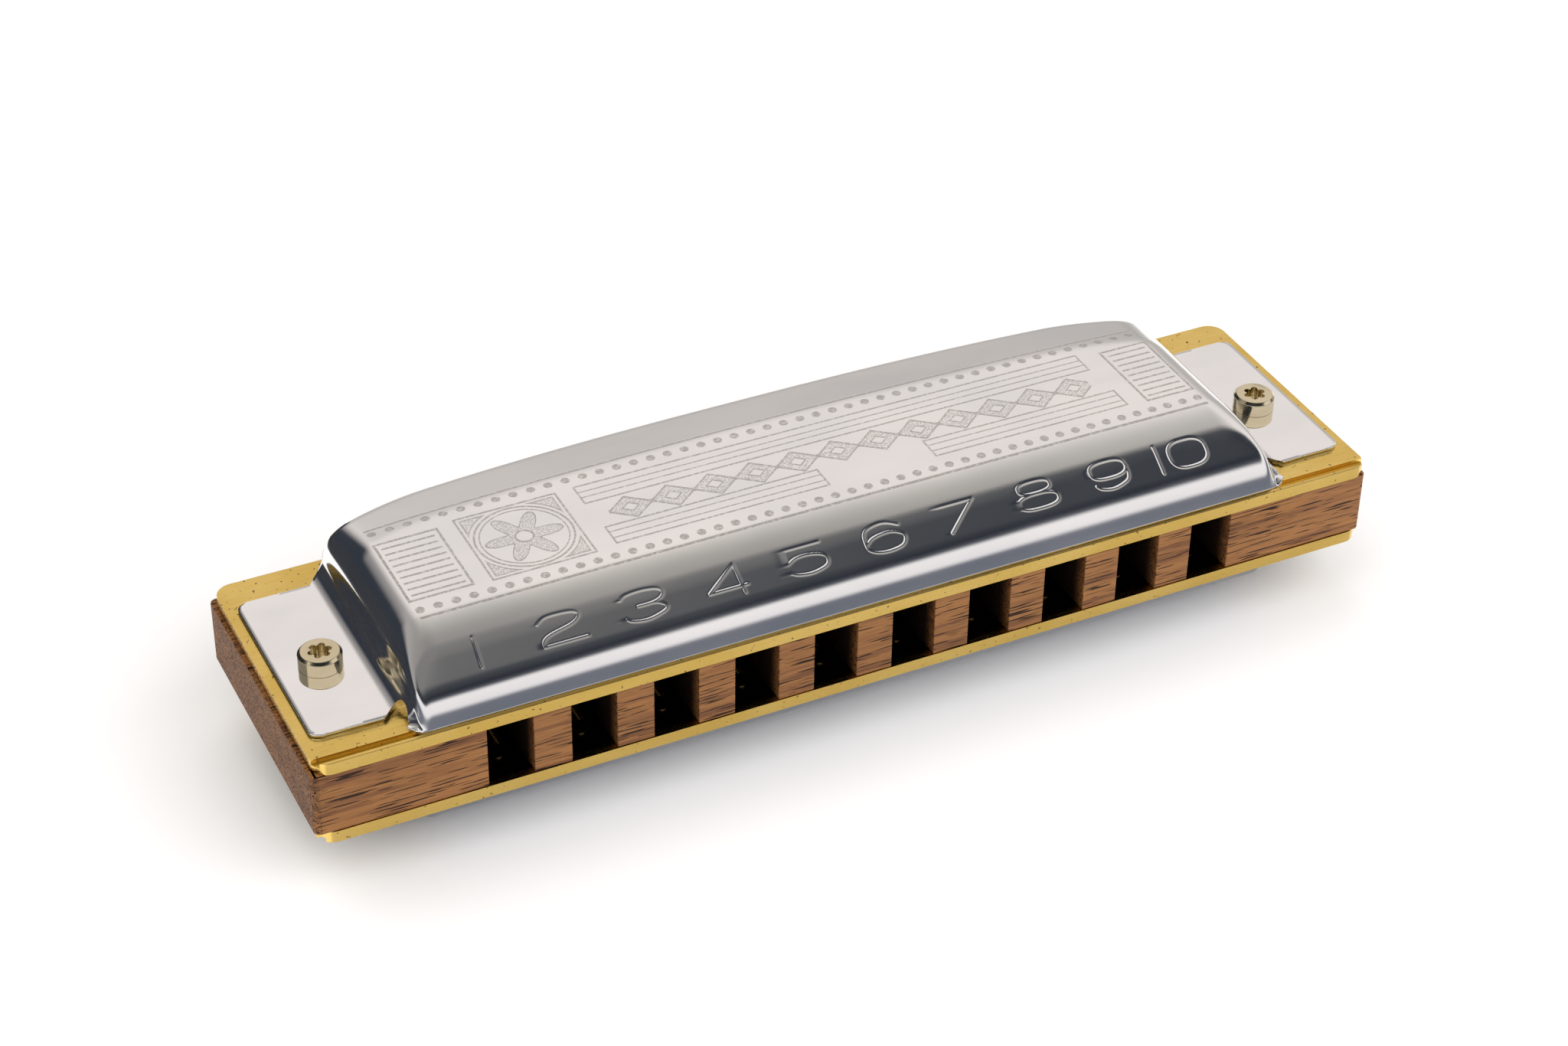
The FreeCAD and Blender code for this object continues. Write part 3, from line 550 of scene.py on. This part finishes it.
def reed_stations(length):
    """Places along a reed from its pad's end to its tip, each with a width and a thickness."""
    stations = [
        (-PAD_LENGTH, PAD_WIDTH - PAD_CORNER, PAD_THICK), (-PAD_LENGTH + 0.15, PAD_WIDTH, PAD_THICK),
        (-0.45, PAD_WIDTH, PAD_THICK), (-0.25, PAD_WIDTH - PAD_CORNER, PAD_THICK),
        (-0.05, TONGUE_WIDTH, TONGUE_THICK)]
    for step in range(1, TONGUE_STEPS + 1):
        share = step / TONGUE_STEPS
        # the tongue is scraped thinner along its middle, and its tip keeps the full thickness
        scraped = TONGUE_SCRAPED * math.sin(math.pi * share) ** 0.8
        stations.append((share * length, TONGUE_WIDTH, TONGUE_THICK * (1 - scraped)))
    stations.append((length + 0.001, TONGUE_WIDTH - 0.12, TONGUE_THICK * 0.9))
    return stations


def strip_mesh(stations, x, root_y, forward, face_z):
    """A strip under the face, through all the stations, with its lower edges broken."""
    vertices, faces = [], []
    for along, width, thick in stations:
        half = width / 2
        profile = [(-half, 0), (half, 0), (half, thick - BROKEN_EDGE), (half - BROKEN_EDGE, thick),
                   (-half + BROKEN_EDGE, thick), (-half, thick - BROKEN_EDGE)]
        for across, down in profile:
            vertices.append((x + across, root_y + forward * along, face_z - down))
    size = len(profile)
    for row in range(len(stations) - 1):
        for n in range(size):
            a, b = row * size + n, row * size + (n + 1) % size
            faces.append((a, b, b + size, a + size))
    faces.append(tuple(reversed(range(size))))
    faces.append(tuple(range(len(vertices) - size, len(vertices))))
    return np.array(vertices), faces


def face_outward(mesh):
    """Turns every face of a closed mesh outward."""
    bm = bmesh.new()
    bm.from_mesh(mesh)
    bmesh.ops.recalc_face_normals(bm, faces=bm.faces)
    bm.to_mesh(mesh)
    bm.free()


def build_reed(kind, number, material):
    """One strip of brass: a thick pad, riveted down, that thins into the free tongue."""
    x, root_y, tip_y, face_z = reed_place(kind, number)
    forward = -1 if tip_y < root_y else 1
    stations = reed_stations(abs(tip_y - root_y))
    vertices, faces = strip_mesh(stations, x, root_y, forward, face_z)
    obj = new_object(f"{kind}_reed_strip_{number}", vertices * MM, faces)
    face_outward(obj.data)
    make_smooth(obj, 30)
    paint(obj, material)
    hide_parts(f"{kind}_reed_{number}", f"{kind}_reed_pads")
    start = (x * MM, (root_y - forward * BEND_HALF) * MM, face_z * MM)
    end = (x * MM, (root_y + forward * BEND_HALF) * MM, face_z * MM)
    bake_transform(obj)


# ---------------------------------------------------------------- materials

def mix_colours(tree, share, first, second):
    """A colour between two, each given as a colour or as an earlier mix."""
    node = tree.nodes.new("ShaderNodeMix")
    node.data_type = "RGBA"
    tree.links.new(share.socket, node.inputs["Factor"])
    for value, key in ((first, 6), (second, 7)):
        if isinstance(value, tuple):
            node.inputs[key].default_value = value + (1.0,)
        else:
            tree.links.new(value, node.inputs[key])
    return node.outputs[2]


class Field:
    """A value in a shader's node tree that is used like a number."""

    def __init__(self, tree, socket):
        self.tree = tree
        self.socket = socket

    def do(self, operation, *others):
        node = self.tree.nodes.new("ShaderNodeMath")
        node.operation = operation
        for number, value in enumerate((self,) + others):
            if isinstance(value, Field):
                self.tree.links.new(value.socket, node.inputs[number])
            else:
                node.inputs[number].default_value = value
        return Field(self.tree, node.outputs[0])

    def __add__(self, other):
        return self.do("ADD", other)

    def __sub__(self, other):
        return self.do("SUBTRACT", other)

    def __mul__(self, other):
        return self.do("MULTIPLY", other)

    def size(self):
        return self.do("ABSOLUTE")

    def lower(self, other):
        return self.do("MINIMUM", other)

    def higher(self, other):
        return self.do("MAXIMUM", other)

    def ramp(self, low, high, to_low=0.0, to_high=1.0):
        """to_low up to low, to_high from high, and a smooth change between."""
        node = self.tree.nodes.new("ShaderNodeMapRange")
        node.interpolation_type = "SMOOTHSTEP"
        self.tree.links.new(self.socket, node.inputs["Value"])
        node.inputs["From Min"].default_value = low
        node.inputs["From Max"].default_value = high
        node.inputs["To Min"].default_value = to_low
        node.inputs["To Max"].default_value = to_high
        return Field(self.tree, node.outputs["Result"])


class Surface:
    """A material under construction. It works in mm, from the plates' centre and the table."""

    def __init__(self, name):
        self.material = bpy.data.materials.new(name)
        self.material.use_nodes = True
        self.tree = self.material.node_tree
        self.shader = self.tree.nodes["Principled BSDF"]
        coordinates = self.tree.nodes.new("ShaderNodeTexCoord")
        scaled = self.tree.nodes.new("ShaderNodeVectorMath")
        scaled.operation = "MULTIPLY_ADD"
        scaled.inputs[1].default_value = (1 / MM, 1 / MM, 1 / MM)
        scaled.inputs[2].default_value = (-SHIFT_X, -SHIFT_Y, 0)
        self.tree.links.new(coordinates.outputs["Object"], scaled.inputs[0])
        self.position = scaled.outputs[0]
        split = self.tree.nodes.new("ShaderNodeSeparateXYZ")
        self.tree.links.new(self.position, split.inputs[0])
        self.x, self.y, self.z = (Field(self.tree, socket) for socket in split.outputs)

    def noise(self, stretch, detail=2.0, roughness=0.5, distortion=0.0):
        """Noise whose cells are 1 / stretch mm long in x, y and z."""
        moved = self.tree.nodes.new("ShaderNodeVectorMath")
        moved.operation = "MULTIPLY"
        moved.inputs[1].default_value = stretch
        self.tree.links.new(self.position, moved.inputs[0])
        node = self.tree.nodes.new("ShaderNodeTexNoise")
        node.inputs["Scale"].default_value = 1.0
        node.inputs["Detail"].default_value = detail
        node.inputs["Roughness"].default_value = roughness
        node.inputs["Distortion"].default_value = distortion
        self.tree.links.new(moved.outputs[0], node.inputs["Vector"])
        return Field(self.tree, node.outputs[0])

    def blend(self, share, first, second):
        """A colour between two, each given as a colour or as an earlier blend."""
        return mix_colours(self.tree, share, first, second)

    def finish(self, colour, roughness, metallic, relief=None, depth=0.0):
        """relief is a height from 0 to 1, and depth is the height in mm that 1 stands for."""
        self.tree.links.new(colour, self.shader.inputs["Base Color"])
        self.tree.links.new(roughness.socket, self.shader.inputs["Roughness"])
        self.shader.inputs["Metallic"].default_value = metallic
        if relief is not None:
            bump = self.tree.nodes.new("ShaderNodeBump")
            bump.inputs["Strength"].default_value = 1.0
            bump.inputs["Distance"].default_value = depth * MM
            self.tree.links.new(relief.socket, bump.inputs["Height"])
            self.tree.links.new(bump.outputs[0], self.shader.inputs["Normal"])
        return self.material


# The engraving's dots and long lines (mm): a radius and half a width
DOT_RADIUS, LONG_LINE = 0.40, 0.13


def rectangle(x, y, low_x, high_x, low_y, high_y):
    """Signed distance to a rectangle, near its outline."""
    across = (x - (low_x + high_x) / 2).size() - (high_x - low_x) / 2
    up = (y - (low_y + high_y) / 2).size() - (high_y - low_y) / 2
    return across.higher(up)


def outline(distance, half_width):
    """Signed distance to a line drawn along the outline of a shape."""
    return distance.size() - half_width


def hypotenuse(across, up):
    """Distance to a point, from the distances across and up."""
    return (across * across + up * up).do("SQRT")


def repeated(value, pitch, offset):
    """Distance to the nearest of many evenly spaced places."""
    return (value - offset).do("PINGPONG", pitch / 2)


def dotted_row(x, y, pitch, first_x, row_y):
    """Signed distance to a row of round dots."""
    return hypotenuse(repeated(x, pitch, first_x), y - row_y) - DOT_RADIUS


def banner(x, y, low_x, high_x, low_y, high_y, lines):
    """A long framed panel with fine lines inside it."""
    shape = rectangle(x, y, low_x, high_x, low_y, high_y)
    parts = outline(shape, 0.07)
    for height in lines:
        parts = parts.lower(outline(y - height, 0.045))
    return parts.higher(shape - 0.07)


def striped_panel(x, y, low_x, high_x):
    """A framed panel of even stripes, as at both ends of the cover."""
    shape = rectangle(x, y, low_x, high_x, -2.3, 6.3)
    inside = rectangle(x, y, low_x + 0.45, high_x - 0.45, -1.95, 5.95)
    stripes = (repeated(y, 0.89, 5.5) - 0.09).higher(inside)
    return stripes.lower(outline(shape, 0.10))


def roundel(x, y):
    """A six-petalled rosette in a ring and a square frame: its lines and its fields."""
    centre_x, centre_y = -25.9, 2.15
    across, up = x - centre_x, y - centre_y
    radius = hypotenuse(across, up)
    angle = up.do("ARCTAN2", across)
    petals = radius - ((angle * 6.0).do("COSINE") * 1.05 + 2.45)
    lines = outline(radius - 4.3, 0.08).lower(outline(radius - 3.85, 0.05))
    lines = lines.lower(outline(petals, 0.08)).lower(outline(radius - 0.8, 0.09))
    square = rectangle(x, y, -30.6, -21.2, -2.5, 6.8)
    spandrels = rectangle(x, y, -30.2, -21.6, -2.1, 6.4).higher(radius * -1.0 + 4.75)
    lines = lines.lower(outline(square, 0.08)).lower(outline(spandrels, 0.05))
    fields = (petals + 0.1).higher(radius * -1.0 + 0.95).lower(spandrels)
    return lines, fields


def lozenges(x, y):
    """A row of diamonds joined by small dots: its lines, and the fields inside them."""
    band = rectangle(x, y, -18.0, 29.6, 0.6, 3.9)
    across = repeated(x, 4.0, -16.0)
    height = (y - 2.25).size()
    diamond = (across * 0.78 + height) * 0.79 - 1.25
    between = repeated(x, 4.0, -14.0)
    dot = hypotenuse(between, height) - 0.24
    lines = outline(diamond, 0.08).lower(outline(diamond + 0.75, 0.06)).lower(dot)
    fields = (diamond + 0.12).higher(diamond * -1.0 - 0.62)
    return lines.higher(band), fields.higher(band)


def engraving(surface):
    """How deep the cover's top is marked: its lines, and its stippled fields."""
    x, y = surface.x, surface.y
    ends = x.size() - 37.95
    front_dots = dotted_row(x, y, 1.598, -37.6, -3.7)
    rear_dots = dotted_row(x, y, 1.626, -37.5, 8.2)
    front_line = outline(y + 4.75, LONG_LINE)
    bowed = y - 9.5 + x * x * 0.00042
    rear_line = outline(bowed, LONG_LINE)
    shape = front_dots.lower(rear_dots).lower(front_line).lower(rear_line).higher(ends)
    shape = shape.lower(striped_panel(x, y, -38.0, -32.3)).lower(striped_panel(x, y, 33.1, 37.9))
    rosette_lines, rosette_fields = roundel(x, y)
    diamond_lines, diamond_fields = lozenges(x, y)
    shape = shape.lower(rosette_lines).lower(diamond_lines)
    shape = shape.lower(banner(x, y, -19.4, 30.8, 4.3, 6.9, (6.0, 5.2)))
    shape = shape.lower(banner(x, y, -19.2, 1.0, -2.1, 0.4, (-0.4, -1.3)))
    shape = shape.lower(banner(x, y, 11.5, 31.1, -2.1, 0.4, (-0.4, -1.3)))
    grains = surface.noise((7, 7, 7), detail=1.0).ramp(0.50, 0.58)
    stipple = rosette_fields.lower(diamond_fields).ramp(0.03, -0.03) * grains
    worn = surface.noise((3, 3, 3), detail=2.0).ramp(0.25, 0.6, 0.45, 1.0)
    return (shape.ramp(0.05, -0.03) * worn).higher(stipple * 0.6)


def chrome_material(name, engraved, bright, dull):
    """Chrome with a faint haze, cleaner on the tabs, and the engraving if it has one."""
    surface = Surface(name)
    haze = surface.noise((0.08, 0.15, 0.15), detail=3.0)
    metal = surface.blend(haze.ramp(0.3, 0.7), dull, bright)
    tabs = surface.x.size().ramp(42.6, 43.6)
    roughness = haze.ramp(0.3, 0.7, 0.095, 0.125) * (tabs * -0.65 + 1.0)
    if not engraved:
        return surface.finish(metal, roughness, 1.0)
    marks = engraving(surface)
    colour = surface.blend(marks * 0.44, metal, (0.22, 0.175, 0.14))
    return surface.finish(colour, roughness + marks * 0.25, 1.0, marks * -1.0, 0.012)


def brass_material(name, first, second, low, high, brush, speck=0.0, painted_shade=0.0, sheared=0.0):
    """speck adds tiny dark spots, the air passages' share darkens the faces inside them as painted
    shade, and sheared dulls the front edge."""
    surface = Surface(name)
    tone = surface.noise((0.12, 0.2, 0.3), detail=3.0)
    lines = surface.noise(brush, detail=3.0)
    metal = surface.blend(tone.ramp(0.3, 0.7), first, second)
    spots = surface.noise((2.6, 2.6, 2.6), detail=1.0).ramp(0.70, 0.76)
    colour = surface.blend(spots * speck, metal, (0.10, 0.07, 0.03))
    # painted shade: faces inside the air passages, between the plates, fade to near black
    inside = (surface.z - MIDDLE_Z).size().ramp(3.2, 3.05) * surface.y.size().ramp(12.9, 12.2)
    colour = surface.blend(inside * painted_shade, colour, (0.030, 0.020, 0.010))
    edge = surface.y.ramp(-12.95, -13.10)
    colour = surface.blend(edge * sheared, colour, (0.20, 0.125, 0.030))
    roughness = lines.ramp(0.3, 0.7, low, high) + spots * 0.2
    return surface.finish(colour, roughness, 1.0, lines, 0.004)


def wood_material():
    """Reddish hardwood: fibre, darker streaks, open pores, mottled ends, and painted shade inside
    the air passages.
    """
    surface = Surface("open-pored hardwood")
    tone = surface.noise((0.03, 0.35, 0.5), detail=3.0)
    fibre = surface.noise((0.25, 5.0, 5.0), detail=4.0, roughness=0.6)
    streak = surface.noise((0.05, 1.1, 1.4), detail=2.0)
    pores = surface.noise((0.24, 5.2, 5.2), detail=1.5, distortion=0.1).ramp(0.585, 0.62)
    colour = surface.blend(tone.ramp(0.3, 0.7), (0.150, 0.057, 0.017), (0.230, 0.094, 0.028))
    colour = surface.blend(fibre.ramp(0.25, 0.75) * 0.6, colour, (0.325, 0.148, 0.045))
    colour = surface.blend(streak.ramp(0.50, 0.70) * 0.65, colour, (0.085, 0.028, 0.011))
    colour = surface.blend(pores * 0.95, colour, (0.014, 0.006, 0.004))
    ends = surface.x.size().ramp(50.15, 50.45)
    mottle = surface.noise((3.6, 3.6, 3.6), detail=3.0, roughness=0.65)
    colour = surface.blend(ends * mottle.ramp(0.52, 0.62) * 0.7, colour, (0.050, 0.018, 0.009))
    colour = surface.blend(ends * mottle.ramp(0.42, 0.34) * 0.6, colour, (0.46, 0.19, 0.06))
    # painted shade: the comb's walls inside the air passages fade to near black
    passage_shade = surface.y.ramp(-13.3, -11.2) * surface.y.ramp(12.6, 11.6)
    passage_shade = passage_shade * surface.x.size().ramp(38.2, 37.6)
    colour = surface.blend(passage_shade * 0.97, colour, (0.006, 0.003, 0.002))
    roughness = fibre.ramp(0.2, 0.8, 0.42, 0.62) + pores * 0.2
    surface.shader.inputs["Specular IOR Level"].default_value = 0.28
    return surface.finish(
        colour, roughness, 0.0, fibre * 0.35 - pores - ends * mottle * 2.2, 0.10)


# ---------------------------------------------------------------- light and camera

# The sky's colours by height, in front, behind and behind to the left
WORLD_FRONT = [
    (0.00, (0.62, 0.61, 0.60)), (0.10, (0.40, 0.40, 0.42)), (0.22, (0.15, 0.165, 0.20)),
    (0.36, (0.17, 0.18, 0.215)), (0.45, (0.85, 0.82, 0.83)), (0.66, (0.92, 0.89, 0.89)),
    (0.72, (0.075, 0.083, 0.100)), (0.78, (0.022, 0.027, 0.036)), (0.88, (0.060, 0.065, 0.075)),
    (0.97, (0.22, 0.215, 0.21))]
WORLD_BACK = [
    (0.00, (0.62, 0.60, 0.58)), (0.14, (0.46, 0.44, 0.42)), (0.34, (0.56, 0.53, 0.51)),
    (0.48, (0.80, 0.755, 0.73)), (0.68, (0.84, 0.79, 0.765)), (0.86, (0.50, 0.48, 0.45)),
    (0.99, (0.27, 0.26, 0.25))]
WORLD_BACK_LEFT = [
    (0.00, (0.45, 0.45, 0.45)), (0.03, (0.20, 0.20, 0.21)), (0.07, (0.040, 0.046, 0.060)),
    (0.50, (0.030, 0.036, 0.048)), (0.66, (0.40, 0.38, 0.37)), (0.97, (0.30, 0.29, 0.275))]

# The dark screen behind the left end (m)
SCREEN_CENTRE = (-0.090, 0.058, 0.0)
SCREEN_WAY = (0.76, 0.65, 0.0)
SCREEN_WIDTH, SCREEN_HEIGHT = 0.16, 0.04

# The camera: azimuth, elevation and roll (degrees), place (m) and focal length (mm)
CAMERA_TURN = (-26.516, 35.992, 0.954)
CAMERA_PLACE = (-0.10667, -0.21046, 0.18459)
CAMERA_LENS, CAMERA_SENSOR = 75.56, 36.0


def sky_ramp(tree, height, stops):
    """One side of the sky: its colours from the horizon to overhead."""
    node = tree.nodes.new("ShaderNodeValToRGB")
    node.color_ramp.interpolation = "LINEAR"
    points = node.color_ramp.elements
    while len(points) < len(stops):
        points.new(0.5)
    for point, (place, colour) in zip(points, stops):
        point.position = place
        point.color = colour + (1.0,)
    tree.links.new(height.socket, node.inputs[0])
    return node.outputs[0]


def build_world():
    """A plain soft studio: pale panels in front and behind, with darker gaps between them."""
    world = bpy.data.worlds.new("studio")
    bpy.context.scene.world = world
    world.use_nodes = True
    tree = world.node_tree
    tree.nodes.clear()
    coordinates = tree.nodes.new("ShaderNodeTexCoord")
    split = tree.nodes.new("ShaderNodeSeparateXYZ")
    tree.links.new(coordinates.outputs["Generated"], split.inputs[0])
    x, y, z = (Field(tree, socket) for socket in split.outputs)
    height = z.higher(0.0)
    front = sky_ramp(tree, height, WORLD_FRONT)
    back = sky_ramp(tree, height, WORLD_BACK)
    back_left = sky_ramp(tree, height, WORLD_BACK_LEFT)
    behind = mix_colours(tree, x.ramp(0.08, -0.18), back, back_left)
    sky = mix_colours(tree, y.ramp(-0.06, 0.10), front, behind)
    background = tree.nodes.new("ShaderNodeBackground")
    background.inputs["Strength"].default_value = 1.0
    tree.links.new(sky, background.inputs["Color"])
    output = tree.nodes.new("ShaderNodeOutputWorld")
    tree.links.new(background.outputs[0], output.inputs[0])


def add_softbox(name, place, size, power, colour):
    """A lamp that faces the origin, and doesn't show as a shape in the chrome."""
    data = bpy.data.lights.new(name, "AREA")
    data.shape = "RECTANGLE"
    data.size, data.size_y = size
    data.energy = power
    data.color = colour
    lamp = bpy.data.objects.new(name, data)
    bpy.context.collection.objects.link(lamp)
    lamp.location = place
    lamp.rotation_euler = (-Vector(place)).to_track_quat("-Z", "Y").to_euler()
    lamp.visible_glossy = False


def add_dark_screen():
    """A low dark screen behind the left end, which shows only in reflections."""
    across = Vector(SCREEN_WAY) * SCREEN_WIDTH / 2
    centre = Vector(SCREEN_CENTRE)
    corners = [centre - across, centre + across]
    corners += [corner + Vector((0, 0, SCREEN_HEIGHT)) for corner in reversed(corners)]
    screen = new_object("dark_screen", np.array(corners), [(0, 1, 2, 3)])
    surface = Surface("dark cloth")
    weave = surface.noise((0.5, 0.5, 0.5))
    colour = surface.blend(weave.ramp(0.3, 0.7), (0.012, 0.014, 0.018), (0.022, 0.025, 0.032))
    paint(screen, surface.finish(colour, weave.ramp(0.3, 0.7, 0.8, 0.9), 0.0))
    screen.visible_camera = False
    screen.visible_diffuse = False
    screen.visible_shadow = False


def build_floor():
    """A pale tabletop, just under the object."""
    bpy.ops.mesh.primitive_plane_add(size=6.0, location=(0, 0, -0.0001))
    floor = bpy.context.object
    floor.name = "floor"
    surface = Surface("pale tabletop")
    tone = surface.noise((0.004, 0.004, 0.004), detail=1.0)
    colour = surface.blend(tone.ramp(0.3, 0.7), (0.80, 0.79, 0.78), (0.84, 0.83, 0.82))
    surface.finish(colour, tone.ramp(0.3, 0.7, 0.65, 0.75), 0.0)
    paint(floor, surface.material)


def build_camera():
    azimuth, elevation, roll = (math.radians(angle) for angle in CAMERA_TURN)
    back = Vector((math.sin(azimuth) * math.cos(elevation),
                   -math.cos(azimuth) * math.cos(elevation), math.sin(elevation)))
    level = (-back).cross(Vector((0, 0, 1))).normalized()
    upright = level.cross(-back)
    right = math.cos(roll) * level + math.sin(roll) * upright
    up = -math.sin(roll) * level + math.cos(roll) * upright
    data = bpy.data.cameras.new("camera")
    data.lens = CAMERA_LENS
    data.sensor_width = CAMERA_SENSOR
    data.clip_start = 0.01
    camera = bpy.data.objects.new("camera", data)
    bpy.context.collection.objects.link(camera)
    turn = Matrix((right, up, back)).transposed().to_4x4()
    camera.matrix_world = Matrix.Translation(CAMERA_PLACE) @ turn
    bpy.context.scene.camera = camera


# ---------------------------------------------------------------- the whole scene

chrome = chrome_material("polished chrome", True, (0.95, 0.935, 0.925), (0.88, 0.875, 0.875))
# the lower cover's chrome is the same chrome, darkened as painted shade
chrome_with_painted_shade = chrome_material("chrome darkened as painted shade", False, (0.25, 0.26, 0.285), (0.20, 0.21, 0.235))
# the plate brass and the rivet brass are darkened inside the air passages as painted shade
plate_brass = brass_material(
    "plate brass", (0.78, 0.53, 0.130), (0.87, 0.62, 0.185), 0.20, 0.30, (0.5, 6, 6),
    speck=0.8, painted_shade=0.9, sheared=0.5)
reed_brass = brass_material(
    "reed brass", (0.62, 0.42, 0.16), (0.74, 0.54, 0.24), 0.24, 0.38, (8, 0.4, 8))
rivet_brass = brass_material(
    "rivet brass", (0.78, 0.56, 0.24), (0.86, 0.66, 0.34), 0.24, 0.34, (5, 5, 5), painted_shade=0.85)
screw_brass = brass_material(
    "screw brass", (0.64, 0.55, 0.36), (0.74, 0.65, 0.45), 0.06, 0.11, (4, 4, 4))
wood = wood_material()

build_cover("upper_cover", "top_cover", BLOW_PLATE_TOP, 1, True, chrome)
build_cover("lower_cover", "bottom_cover", DRAW_PLATE_UNDER, -1, False, chrome_with_painted_shade)
detailed_copy("comb", 0.18, wood, segments=3)
for plate in ("blow_reed_plate", "draw_reed_plate"):
    detailed_copy(plate, 0.07, plate_brass)
for part in ("cover_screw_left", "cover_screw_right", "cover_nut_left", "cover_nut_right",
             "reed_plate_screws"):
    detailed_copy(part, 0.07, screw_brass)
for part in ("blow_reed_rivets", "draw_reed_rivets"):
    detailed_copy(part, 0.14, rivet_brass, segments=3)
for kind in ("blow", "draw"):
    for number in range(1, 11):
        build_reed(kind, number, reed_brass)

node_finish = {"comb": wood, "top_cover": chrome, "bottom_cover": chrome_with_painted_shade}
for name, node in frame["nodes"].items():
    paint(node, node_finish.get(name, plate_brass))

build_world()
add_softbox("key", (-0.35, 0.25, 0.75), (1.6, 1.2), 9.0, (1.0, 0.995, 0.985))
add_softbox("fill", (0.35, -0.55, 0.55), (1.2, 0.8), 9.0, (0.97, 0.98, 1.0))
build_floor()
add_dark_screen()
build_camera()
bpy.context.scene.view_settings.view_transform = "Standard"
